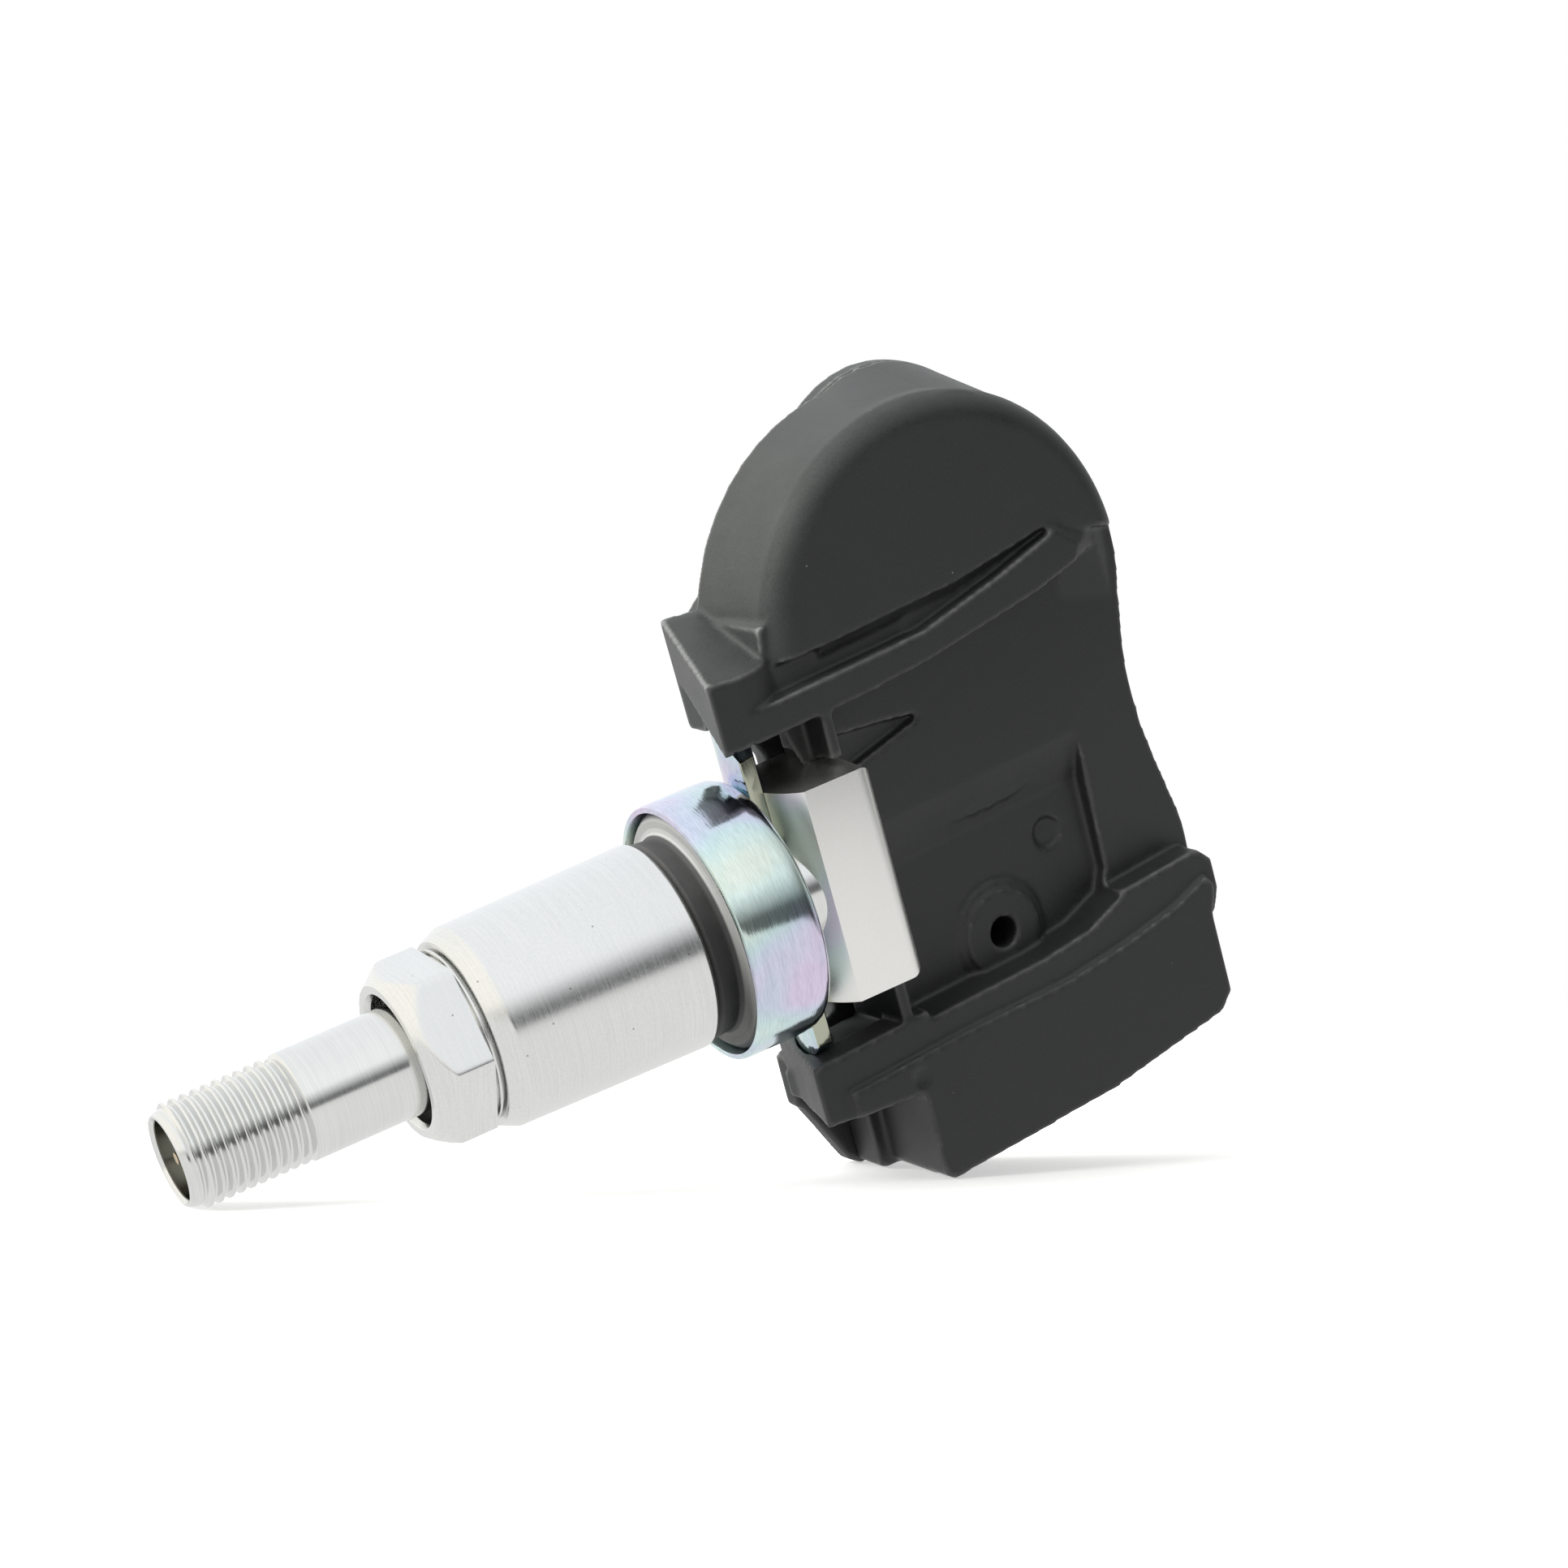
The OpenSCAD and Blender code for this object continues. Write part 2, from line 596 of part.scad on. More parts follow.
// Welded contact strip on the front of the cell, bent down its side to the board
module cell_tab_front() {
    y = cell_y + 0.02;
    side = cell_x + cell_d / 2 + 0.15;
    z0 = cell_z - 3.2;
    color("lightgray") on_housing() union() {
        slab(y, y + 0.15) polygon([[cell_x - 3, z0 + 0.2], [cell_x - 3, z0 + 4.2],
            [cell_x + 1, z0 + 4.2], [cell_x + 4, z0 + 2.4], [side + 0.15, z0 + 2.4],
            [side + 0.15, z0], [cell_x + 3, z0]]);
        translate([side, y, z0]) cube([0.15, board_y0 - y - 0.01, 2.4]);
    }
}

// Contact strip on the back of the cell, stepped down to the board
module cell_tab_back() {
    y = cell_y + 0.2 + cell_t + 0.01;
    color("lightgray") on_housing() union() {
        slab(y, y + 0.15) polygon([[cell_x - 3, cell_z - 6], [cell_x + 3, cell_z - 6],
            [cell_x + 3, cell_z + 2], [cell_x - 3, cell_z + 2]]);
        translate([cell_x - 1.2, y, cell_z - 6]) cube([2.4, board_y0 - y - 0.01, 0.15]);
        slab(board_y0 - 0.16, board_y0 - 0.01) polygon([[cell_x - 1.2, cell_z - 8],
            [cell_x + 1.2, cell_z - 8], [cell_x + 1.2, cell_z - 5.9], [cell_x - 1.2, cell_z - 5.9]]);
    }
}

// Board with a round end under the cell, a neck beside the T-head and a wide foot
module circuit_board() {
    color("seagreen") on_housing() room(board_y0, board_y1, 0.25);
}

// Pressure sensor package below the port
module sensor_module() {
    color([0.1, 0.1, 0.12]) on_housing() difference() {
        translate([port_x - 1.0, board_y0 - 2.3, port_z - 3])
            cube([6, 2.29, 6]);
        disc(port_x + 1.2, port_z, 0.9, board_y0 - 3, board_y0 - 1.2);
    }
}

// Rubber ring between the shell's collar and the sensor
module port_seal() {
    color("dimgray") on_housing() difference() {
        disc(port_x, port_z, 2.4, board_y0 - 3.28, board_y0 - 2.31);
        disc(port_x, port_z, 1.25, board_y0 - 4, board_y0 - 1);
    }
}

// Radio chip on the board's neck
module radio_chip() {
    color([0.1, 0.1, 0.12]) on_housing() translate([12.5, board_y0 - 0.96, -4.5]) cube([5, 0.95, 5]);
}

// Crystal can
module crystal() {
    color("silver") on_housing() translate([19, board_y0 - 0.86, -4]) cube([2.5, 0.85, 3.2]);
}

// Chip capacitors in a row
module chip_capacitors() {
    color("tan") on_housing() for (i = [0 : 3])
        translate([18.6, board_y0 - 0.76, -16.6 + i * 2]) cube([2, 0.75, 1.2]);
}

// Ferrite bar of the wake-up antenna
module antenna_core() {
    color([0.25, 0.25, 0.27]) on_housing() translate([4.2, board_y0 - 2.6, -21.2]) cube([12, 1.7, 1.7]);
}

// Bobbin that holds the ferrite bar on the board
module antenna_bobbin() {
    color("ivory") on_housing() difference() {
        union() {
            for (x = [4, 14.9]) translate([x, board_y0 - 3.02, -21.9]) cube([1.5, 3, 3.1]);
        }
        translate([0, board_y0 - 2.61, -21.21]) cube([20, 1.72, 1.72]);
    }
}

// Copper winding on the ferrite bar
module antenna_coil() {
    color("chocolate") on_housing() difference() {
        translate([5.6, board_y0 - 2.95, -21.55]) cube([9.2, 2.4, 2.4]);
        translate([0, board_y0 - 2.61, -21.21]) cube([20, 1.72, 1.72]);
    }
}

valve_stem();
core_barrel();
core_gasket();
core_pin();
core_seal();
core_spring();
collar_nut();
sealing_grommet();
cup_washer();
saddle_plate();
housing_shell();
back_cover();
coin_cell();
cell_tab_front();
cell_tab_back();
circuit_board();
sensor_module();
port_seal();
radio_chip();
crystal();
chip_capacitors();
antenna_core();
antenna_coil();
antenna_bobbin();
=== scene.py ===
import bpy
import bmesh
import numpy as np
from math import sin, cos, tan, pi, radians, sqrt, atan2, exp, log
from mathutils import Matrix, Vector


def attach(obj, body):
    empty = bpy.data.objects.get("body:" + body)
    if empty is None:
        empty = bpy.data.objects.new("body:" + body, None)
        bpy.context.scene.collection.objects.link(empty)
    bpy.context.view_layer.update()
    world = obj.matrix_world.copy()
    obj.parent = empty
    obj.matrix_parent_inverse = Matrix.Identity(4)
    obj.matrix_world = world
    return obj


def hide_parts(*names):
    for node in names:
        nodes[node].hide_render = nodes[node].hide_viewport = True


# Tyre pressure sensor on its clamp-in valve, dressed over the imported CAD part.
# Stem on X with its tip at -X, +Z to the round battery end, -Y is the front.

mm = 0.001
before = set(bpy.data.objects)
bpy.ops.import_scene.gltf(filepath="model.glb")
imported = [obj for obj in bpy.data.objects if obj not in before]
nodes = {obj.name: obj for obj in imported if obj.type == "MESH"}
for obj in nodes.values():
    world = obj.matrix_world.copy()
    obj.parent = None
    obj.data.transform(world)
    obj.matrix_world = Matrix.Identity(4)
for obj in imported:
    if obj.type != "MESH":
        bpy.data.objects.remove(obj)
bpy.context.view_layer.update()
# the housing is drawn in its own frame, which leans about the swivel axis
swivel = {"x": 16.33, "radius": 7.0, "tilt": 6.2}
toHousing = Matrix.Translation((swivel["x"] * mm, 0, 0)) @ Matrix.Rotation(radians(swivel["tilt"]), 4, "Z")
scene = bpy.context.scene
scene.view_settings.view_transform = "Standard"
print("frame loaded:", len(nodes), "nodes")


def srgb(code):
    # sRGB hex to the linear values that the shader sockets want
    parts = [int(code[i:i + 2], 16) / 255 for i in (1, 3, 5)]
    return [c / 12.92 if c <= 0.04045 else ((c + 0.055) / 1.055) ** 2.4 for c in parts] + [1.0]


def perMm(*sizes):
    # mapping scale on which a noise of scale 1 has features of these sizes in mm
    return [1 / (size * mm) for size in sizes]


def addNode(tree, kind, settings=None, inputs=None, stops=None):
    # one node with its settings and stops; an input is a value or another node's output
    made = tree.nodes.new(kind)
    for key, value in (settings or {}).items():
        setattr(made, key, value)
    for key, value in (inputs or {}).items():
        if isinstance(value, bpy.types.NodeSocket):
            tree.links.new(value, made.inputs[key])
        else:
            made.inputs[key].default_value = value
    if stops:
        points = made.color_ramp.elements
        points[0].position, points[1].position = stops[0][0], stops[-1][0]
        for place, colour in stops[1:-1]:
            points.new(place)
        for point, (place, colour) in zip(points, stops):
            point.color = srgb(colour) if isinstance(colour, str) else (colour, colour, colour, 1)
    return made


def surface(look):
    # two noises in real mm, one fine and one broad, drive the colour, the gloss and the relief
    mat = bpy.data.materials.new(look["name"])
    mat.use_nodes = True
    tree = mat.node_tree
    tree.nodes.clear()
    coords = addNode(tree, "ShaderNodeTexCoord").outputs["Object"]
    fineSpace = addNode(tree, "ShaderNodeMapping", {}, {"Vector": coords, "Scale": perMm(*look["fine"])})
    broadSpace = addNode(tree, "ShaderNodeMapping", {}, {"Vector": coords, "Scale": perMm(*look["broad"])})
    fine = addNode(tree, "ShaderNodeTexNoise", {}, {
        "Vector": fineSpace.outputs[0], "Scale": 1.0, "Detail": 3.0})
    broad = addNode(tree, "ShaderNodeTexNoise", {}, {
        "Vector": broadSpace.outputs[0], "Scale": 1.0, "Detail": 3.0})
    mixed = addNode(tree, "ShaderNodeMix", {"data_type": "FLOAT"}, {
        0: look["broadShare"], 2: fine.outputs["Fac"], 3: broad.outputs["Fac"]})
    colour = addNode(tree, "ShaderNodeValToRGB", {}, {"Fac": mixed.outputs[0]}, [
        (0.35, look["dark"]), (0.65, look["light"])])
    gloss = addNode(tree, "ShaderNodeMapRange", {}, {
        "Value": mixed.outputs[0], "From Min": 0.35, "From Max": 0.65,
        "To Min": look["rough"][0], "To Max": look["rough"][1]})
    broadRelief = addNode(tree, "ShaderNodeBump", {}, {
        "Height": broad.outputs["Fac"], "Distance": look["relief"][1] * mm, "Strength": 1.0})
    fineRelief = addNode(tree, "ShaderNodeBump", {}, {
        "Height": fine.outputs["Fac"], "Distance": look["relief"][0] * mm, "Strength": 1.0,
        "Normal": broadRelief.outputs[0]})
    shader = addNode(tree, "ShaderNodeBsdfPrincipled", {}, {
        "Base Color": colour.outputs[0], "Metallic": look.get("metal", 0.0),
        "Roughness": gloss.outputs[0], "Normal": fineRelief.outputs[0]})
    addNode(tree, "ShaderNodeOutputMaterial", {}, {"Surface": shader.outputs["BSDF"]})
    return mat, tree, coords, {"fine": fine.outputs["Fac"], "broad": broad.outputs["Fac"],
                               "colour": colour.outputs[0], "normal": fineRelief.outputs[0], "shader": shader}


def specks(tree, coords, look):
    # share of small round specks, in a few of the cells only
    space = addNode(tree, "ShaderNodeMapping", {}, {"Vector": coords, "Scale": perMm(*[look["cell"]] * 3)})
    cells = addNode(tree, "ShaderNodeTexVoronoi", {"feature": "F1"}, {"Vector": space.outputs[0], "Scale": 1.0})
    spot = addNode(tree, "ShaderNodeMapRange", {}, {
        "Value": cells.outputs["Distance"], "From Min": look["size"][0], "From Max": look["size"][1],
        "To Min": 1.0, "To Max": 0.0})
    pick = addNode(tree, "ShaderNodeSeparateColor", {}, {"Color": cells.outputs["Color"]})
    rare = addNode(tree, "ShaderNodeMapRange", {}, {
        "Value": pick.outputs[0], "From Min": look["rare"][0], "From Max": look["rare"][1],
        "To Min": 0.0, "To Max": look["share"]})
    return addNode(tree, "ShaderNodeMath", {"operation": "MULTIPLY"}, {
        0: spot.outputs[0], 1: rare.outputs[0]}).outputs[0]


# glass-filled nylon, injection moulded: near black and matt, sandy grain, convex edges painted paler as wear
# and as painted edge highlight, stray dust
nylon, tree, coords, made = surface({
    "name": "glass-filled nylon, moulded black", "fine": (0.16, 0.16, 0.16), "broad": (3.0, 3.0, 3.0),
    "broadShare": 0.4, "dark": "#2a2c2b", "light": "#383a39", "rough": (0.4, 0.54), "relief": (0.014, 0.03)})
# paler colour on convex edges: partly wear, partly a painted highlight where the rounded edges catch the light
edgeWearAndHighlight = {"from": 0.5, "to": 1.7, "colour": "#6f706e", "share": 0.8}
dust = {"cell": 1.9, "size": (0.025, 0.04), "rare": (0.9, 0.92), "share": 0.8, "colour": "#b4b4ae"}
ridge = addNode(tree, "ShaderNodeAttribute", {"attribute_name": "ridge"})
edges = addNode(tree, "ShaderNodeMapRange", {}, {
    "Value": ridge.outputs["Fac"], "From Min": edgeWearAndHighlight["from"], "From Max": edgeWearAndHighlight["to"],
    "To Min": 0.0, "To Max": edgeWearAndHighlight["share"]})
wornAndHighlightedEdges = addNode(tree, "ShaderNodeMix", {"data_type": "RGBA"}, {
    0: edges.outputs[0], 6: made["colour"], 7: srgb(edgeWearAndHighlight["colour"])})
dusted = addNode(tree, "ShaderNodeMix", {"data_type": "RGBA"}, {
    0: specks(tree, coords, dust), 6: wornAndHighlightedEdges.outputs[2], 7: srgb(dust["colour"])})
tree.links.new(dusted.outputs[2], made["shader"].inputs["Base Color"])

# EPDM rubber: the collar is dark grey, the flange inside the cup has a pale bloom
rubber, tree, coords, made = surface({
    "name": "EPDM rubber, moulded", "fine": (0.12, 0.12, 0.12), "broad": (1.6, 1.6, 1.6),
    "broadShare": 0.6, "dark": "#2f2f2f", "light": "#3b3b3a",
    "rough": (0.42, 0.55), "relief": (0.006, 0.015)})
bloom = {"from": 1.86, "to": 1.98, "colour": "#9b9b98"}
place = addNode(tree, "ShaderNodeSeparateXYZ", {}, {"Vector": coords})
pale = addNode(tree, "ShaderNodeMapRange", {}, {
    "Value": place.outputs["X"], "From Min": bloom["from"] * mm, "From Max": bloom["to"] * mm})
toned = addNode(tree, "ShaderNodeMix", {"data_type": "RGBA"}, {
    0: pale.outputs[0], 6: made["colour"], 7: srgb(bloom["colour"])})
tree.links.new(toned.outputs[2], made["shader"].inputs["Base Color"])

# moulded rubber of the small seals: plain dark grey
sealRubber = surface({
    "name": "nitrile rubber, moulded", "fine": (0.1, 0.1, 0.1), "broad": (0.8, 0.8, 0.8),
    "broadShare": 0.5, "dark": "#262626", "light": "#333332",
    "rough": (0.5, 0.65), "relief": (0.005, 0.01)})[0]

# anodised aluminium, turned: satin, faint rings round the axis, tiny pits
satin, tree, coords, made = surface({
    "name": "anodised aluminium, turned satin", "metal": 1.0, "fine": (0.08, 5.0, 5.0),
    "broad": (0.2, 0.2, 0.2),
    "broadShare": 0.4, "dark": "#e0e1df", "light": "#ececea",
    "rough": (0.19, 0.26), "relief": (0.0007, 0.001)})
pits = {"cell": 1.1, "size": (0.05, 0.08), "rare": (0.6, 0.65), "share": 0.8, "colour": "#8f908d"}
pitted = addNode(tree, "ShaderNodeMix", {"data_type": "RGBA"}, {
    0: specks(tree, coords, pits), 6: made["colour"], 7: srgb(pits["colour"])})
tree.links.new(pitted.outputs[2], made["shader"].inputs["Base Color"])

# aluminium, turned bright: mirror-like with thin tool lines round the axis; painted shade darkens the colour
# inside the bore
bright, tree, coords, made = surface({
    "name": "aluminium, turned bright", "metal": 1.0, "fine": (0.06, 5.0, 5.0), "broad": (6.0, 3.0, 3.0),
    "broadShare": 0.35, "dark": "#dcdddc", "light": "#eaeae7", "rough": (0.13, 0.2), "relief": (0.0007, 0.0)})
# painted shade: the colour inside the bore is darker, where shade falls in the hole
bore = {"radius": 2.93, "lip": -37.72, "colour": "#65655c"}
place = addNode(tree, "ShaderNodeSeparateXYZ", {}, {"Vector": coords})
section = addNode(tree, "ShaderNodeVectorMath", {"operation": "MULTIPLY"}, {0: coords, 1: (0.0, 1.0, 1.0)})
fromAxis = addNode(tree, "ShaderNodeVectorMath", {"operation": "LENGTH"}, {0: section.outputs[0]})
near = addNode(tree, "ShaderNodeMath", {"operation": "LESS_THAN"}, {
    0: fromAxis.outputs["Value"], 1: bore["radius"] * mm})
past = addNode(tree, "ShaderNodeMath", {"operation": "GREATER_THAN"}, {
    0: place.outputs["X"], 1: bore["lip"] * mm})
inBore = addNode(tree, "ShaderNodeMath", {"operation": "MULTIPLY"}, {0: near.outputs[0], 1: past.outputs[0]})
shadedBore = addNode(tree, "ShaderNodeMix", {"data_type": "RGBA"}, {
    0: inBore.outputs[0], 6: made["colour"], 7: srgb(bore["colour"])})
tree.links.new(shadedBore.outputs[2], made["shader"].inputs["Base Color"])

# aluminium, milled and etched: pale warm grey, nearly matt
etched = surface({
    "name": "aluminium, milled and etched", "metal": 1.0, "fine": (0.13, 0.13, 0.13),
    "broad": (5.0, 5.0, 5.0),
    "broadShare": 0.3, "dark": "#f0efeb", "light": "#f6f5f2",
    "rough": (0.34, 0.42), "relief": (0.003, 0.0)})[0]

# steel, zinc plated and passivated: brushed round the axis, pale rainbow film, bare grey where sheared
zinc, tree, coords, made = surface({
    "name": "steel, zinc plated and passivated", "metal": 1.0, "fine": (0.11, 0.9, 0.9),
    "broad": (0.5, 3.5, 3.5),
    "broadShare": 0.3, "dark": "#e4e6e6", "light": "#fafafa", "rough": (0.1, 0.15), "relief": (0.006, 0.006)})
film = {"size": (9.0, 6.0, 6.0), "share": 0.75}
sheared = {"depth": 0.2, "fromX": 8.15, "colour": "#b4b6a4"}
space = addNode(tree, "ShaderNodeMapping", {}, {"Vector": coords, "Scale": perMm(*film["size"])})
thick = addNode(tree, "ShaderNodeTexNoise", {}, {"Vector": space.outputs[0], "Scale": 1.0, "Detail": 1.0})
tint = addNode(tree, "ShaderNodeValToRGB", {}, {"Fac": thick.outputs["Fac"]}, [
    (0.32, "#e0cdf0"), (0.42, "#d0dcf4"), (0.5, "#cbeaec"), (0.58, "#d6f1ea"), (0.7, "#e6f3e2")])
filmed = addNode(tree, "ShaderNodeMix", {"data_type": "RGBA", "blend_type": "MULTIPLY"}, {
    0: film["share"], 6: made["colour"], 7: tint.outputs[0]})
across = toHousing.to_3x3() @ Vector((0, 1, 0))
frontEdge = min(v.co.dot(across) for v in nodes["saddle_plate"].data.vertices)
depth = addNode(tree, "ShaderNodeVectorMath", {"operation": "DOT_PRODUCT"}, {0: coords, 1: tuple(across)})
cut = addNode(tree, "ShaderNodeMath", {"operation": "LESS_THAN"}, {
    0: depth.outputs["Value"], 1: frontEdge + sheared["depth"] * mm})
place = addNode(tree, "ShaderNodeSeparateXYZ", {}, {"Vector": coords})
behind = addNode(tree, "ShaderNodeMath", {"operation": "GREATER_THAN"}, {
    0: place.outputs["X"], 1: sheared["fromX"] * mm})
cut = addNode(tree, "ShaderNodeMath", {"operation": "MULTIPLY"}, {0: cut.outputs[0], 1: behind.outputs[0]})
plated = addNode(tree, "ShaderNodeMix", {"data_type": "RGBA"}, {
    0: cut.outputs[0], 6: filmed.outputs[2], 7: srgb(sheared["colour"])})
tree.links.new(plated.outputs[2], made["shader"].inputs["Base Color"])

# free-cutting brass, turned: warm yellow, fine tool rings
brass = surface({
    "name": "brass, turned", "metal": 1.0, "fine": (0.07, 3.0, 3.0), "broad": (0.8, 0.8, 0.8),
    "broadShare": 0.5, "dark": "#bfa37c", "light": "#e0ccaa",
    "rough": (0.22, 0.36), "relief": (0.002, 0.004)})[0]

# nickel plated steel, drawn: bright grey with fine grain along the strip
steel = surface({
    "name": "steel, nickel plated", "metal": 1.0, "fine": (0.2, 1.5, 0.2), "broad": (3.0, 3.0, 3.0),
    "broadShare": 0.4, "dark": "#b9bbbb", "light": "#d4d5d3",
    "rough": (0.22, 0.36), "relief": (0.002, 0.004)})[0]

# green solder resist over glass laminate: glossy, the weave shows faintly
laminate, tree, coords, made = surface({
    "name": "solder resist on glass laminate", "fine": (0.3, 0.3, 0.3), "broad": (3.0, 3.0, 3.0),
    "broadShare": 0.6, "dark": "#0c4522", "light": "#12592f",
    "rough": (0.26, 0.36), "relief": (0.001, 0.003)})
weave = {"step": 0.5, "waver": 0.4, "depth": 0.003}
space = addNode(tree, "ShaderNodeMapping", {}, {"Vector": coords, "Scale": perMm(*[weave["step"]] * 3)})
threads = addNode(tree, "ShaderNodeTexWave", {"bands_direction": "DIAGONAL"}, {
    "Vector": space.outputs[0], "Scale": 1.0, "Distortion": weave["waver"]})
woven = addNode(tree, "ShaderNodeBump", {}, {
    "Height": threads.outputs["Fac"], "Distance": weave["depth"] * mm, "Normal": made["normal"]})
tree.links.new(woven.outputs[0], made["shader"].inputs["Normal"])

# sintered ferrite and chip mould: dark, slightly rough
ferrite = surface({
    "name": "ferrite and chip mould, dark", "fine": (0.1, 0.1, 0.1), "broad": (1.5, 1.5, 1.5),
    "broadShare": 0.3, "dark": "#17181a", "light": "#242527",
    "rough": (0.42, 0.6), "relief": (0.004, 0.006)})[0]

# enamelled copper wire, wound close: the turns show as ribs across the bar
copper, tree, coords, made = surface({
    "name": "enamelled copper wire, wound", "metal": 0.8, "fine": (0.3, 0.1, 0.3), "broad": (2.0, 2.0, 2.0),
    "broadShare": 0.5, "dark": "#8a4520", "light": "#bd6b36", "rough": (0.26, 0.4), "relief": (0.002, 0.004)})
winding = {"step": 0.6, "depth": 0.03}
space = addNode(tree, "ShaderNodeMapping", {}, {"Vector": coords, "Scale": perMm(*[winding["step"]] * 3)})
turns = addNode(tree, "ShaderNodeTexWave", {"bands_direction": "X"}, {"Vector": space.outputs[0], "Scale": 1.0})
ribs = addNode(tree, "ShaderNodeBump", {}, {
    "Height": turns.outputs["Fac"], "Distance": winding["depth"] * mm, "Normal": made["normal"]})
tree.links.new(ribs.outputs[0], made["shader"].inputs["Normal"])

# liquid crystal polymer, moulded: ivory, with flow marks
ivory = surface({
    "name": "liquid crystal polymer, ivory", "fine": (0.4, 1.6, 0.4), "broad": (3.0, 3.0, 3.0),
    "broadShare": 0.4, "dark": "#c9c0a6", "light": "#ddd6c2",
    "rough": (0.42, 0.55), "relief": (0.005, 0.006)})[0]
print("materials made")

nodeLook = {
    "valve_stem": bright, "collar_nut": satin, "core_barrel": brass, "core_pin": brass,
    "core_gasket": sealRubber, "core_seal": sealRubber, "core_spring": steel, "sealing_grommet": rubber,
    "cup_washer": zinc, "saddle_plate": zinc, "housing_shell": nylon, "back_cover": nylon,
    "coin_cell": steel, "cell_tab_front": steel, "cell_tab_back": steel, "circuit_board": laminate,
    "sensor_module": ferrite, "port_seal": sealRubber, "radio_chip": ferrite, "crystal": steel,
    "chip_capacitors": ivory, "antenna_core": ferrite, "antenna_coil": copper, "antenna_bobbin": ivory,
}
for name, obj in nodes.items():
    obj.data.materials.clear()
    obj.data.materials.append(nodeLook[name])


# tools for the turned and milled pieces

def addPiece(name, mesh, mat, body, node, sharp=35):
    obj = bpy.data.objects.new(name, mesh)
    scene.collection.objects.link(obj)
    mesh.materials.clear()
    mesh.materials.append(mat)
    mesh.shade_smooth()
    mesh.set_sharp_from_angle(angle=radians(sharp))
    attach(obj, body)
    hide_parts(node)


def applied(obj):
    # the evaluated mesh with every modifier in it
    depsgraph = bpy.context.evaluated_depsgraph_get()
    depsgraph.update()
    return bpy.data.meshes.new_from_object(obj.evaluated_get(depsgraph), depsgraph=depsgraph)


def addBevel(obj, width, segments):
    bevel = obj.modifiers.new("edges", "BEVEL")
    bevel.limit_method = "ANGLE"
    bevel.angle_limit = radians(32)
    bevel.width = width * mm
    bevel.segments = segments


def roundedLoop(points, steps=5):
    # a closed outline of (x, radius, fillet), with an arc in place of each filleted corner
    loop = []
    for i, point in enumerate(points):
        here = Vector(point[:2])
        fillet = point[2] if len(point) > 2 else 0
        if not fillet:
            loop.append(here)
            continue
        before = Vector(points[i - 1][:2]) - here
        after = Vector(points[(i + 1) % len(points)][:2]) - here
        half = before.angle(after) / 2
        reach = min(fillet / tan(half), before.length * 0.48, after.length * 0.48)
        a = here + before.normalized() * reach
        b = here + after.normalized() * reach
        for k in range(steps + 1):
            t = k / steps
            loop.append(a * (1 - t) ** 2 + here * (2 * t * (1 - t)) + b * t * t)
    return loop


def turnedMesh(name, points, segments=144, radiusRule=None):
    # the outline spun round X; radiusRule may flatten it, as on a hexagon
    bm = bmesh.new()
    rings = []
    for x, r in roundedLoop(points):
        ring = []
        for k in range(segments):
            angle = 2 * pi * k / segments
            radius = radiusRule(x, r, angle) if radiusRule else r
            ring.append(bm.verts.new((x * mm, radius * cos(angle) * mm, radius * sin(angle) * mm)))
        rings.append(ring)
    for i, ring in enumerate(rings):
        nxt = rings[(i + 1) % len(rings)]
        for k in range(segments):
            m = (k + 1) % segments
            bm.faces.new((ring[k], ring[m], nxt[m], nxt[k]))
    bmesh.ops.recalc_face_normals(bm, faces=bm.faces)
    mesh = bpy.data.meshes.new(name)
    bm.to_mesh(mesh)
    bm.free()
    return mesh


def prismMesh(name, outline, low, high, axis):
    # a closed outline drawn out along one axis
    bm = bmesh.new()
    ends = []
    for depth in (low, high):
        ring = []
        for u, v in outline:
            place = (u, v, depth) if axis == "z" else (u, depth, v)
            ring.append(bm.verts.new(Vector(place) * mm))
        ends.append(ring)
    bm.faces.new(ends[0])
    bm.faces.new(ends[1])
    count = len(outline)
    for k in range(count):
        m = (k + 1) % count
        bm.faces.new((ends[0][k], ends[0][m], ends[1][m], ends[1][k]))
    bmesh.ops.recalc_face_normals(bm, faces=bm.faces)
    mesh = bpy.data.meshes.new(name)
    bm.to_mesh(mesh)
    bm.free()
    return mesh


# valve stem

stem = {
    "tip": -38.0, "mouth": 3.056, "threadRoot": 3.43, "threadEnd": -29.2, "shank": 3.9,
    "shankEnd": -17.0, "tail": 4.2, "tailEnd": 14.6, "airHole": 1.2, "coneEnd": -21.2, "coneStart": -22.0,
    "coreHole": 2.1, "coreStart": -31.0, "chamberEnd": -32.4, "chamber": 2.6, "headSeat": -36.4,
    "headRoom": 2.775, "lip": 2.875,
}
mesh = turnedMesh("stemBody", [
    (stem["tip"], stem["mouth"], 0.05), (stem["tip"], 3.24, 0.1), (stem["tip"] + 0.45, stem["threadRoot"], 0.1),
    (stem["threadEnd"], stem["threadRoot"], 0.1), (stem["threadEnd"] + 0.35, stem["shank"], 0.1),
    (stem["shankEnd"], stem["shank"], 0.1), (stem["shankEnd"] + 0.3, stem["tail"], 0.1),
    (stem["tailEnd"], stem["tail"]), (stem["tailEnd"], stem["airHole"]), (stem["coneEnd"], stem["airHole"]),
    (stem["coneStart"], stem["coreHole"]), (stem["coreStart"], stem["coreHole"]),
    (stem["chamberEnd"], stem["chamber"]), (stem["headSeat"], stem["chamber"], 0.1),
    (stem["headSeat"] - 0.4, stem["headRoom"]), (stem["tip"] + 0.35, stem["lip"], 0.1)])
addPiece("stemBody", mesh, bright, "stem", "valve_stem")

head = {"half": 4.65, "ridge": 5.0, "spare": 1.0, "back": 16.63, "corner": 1.3,
        "length": 16.0, "endCorner": 1.1, "edge": 0.22}


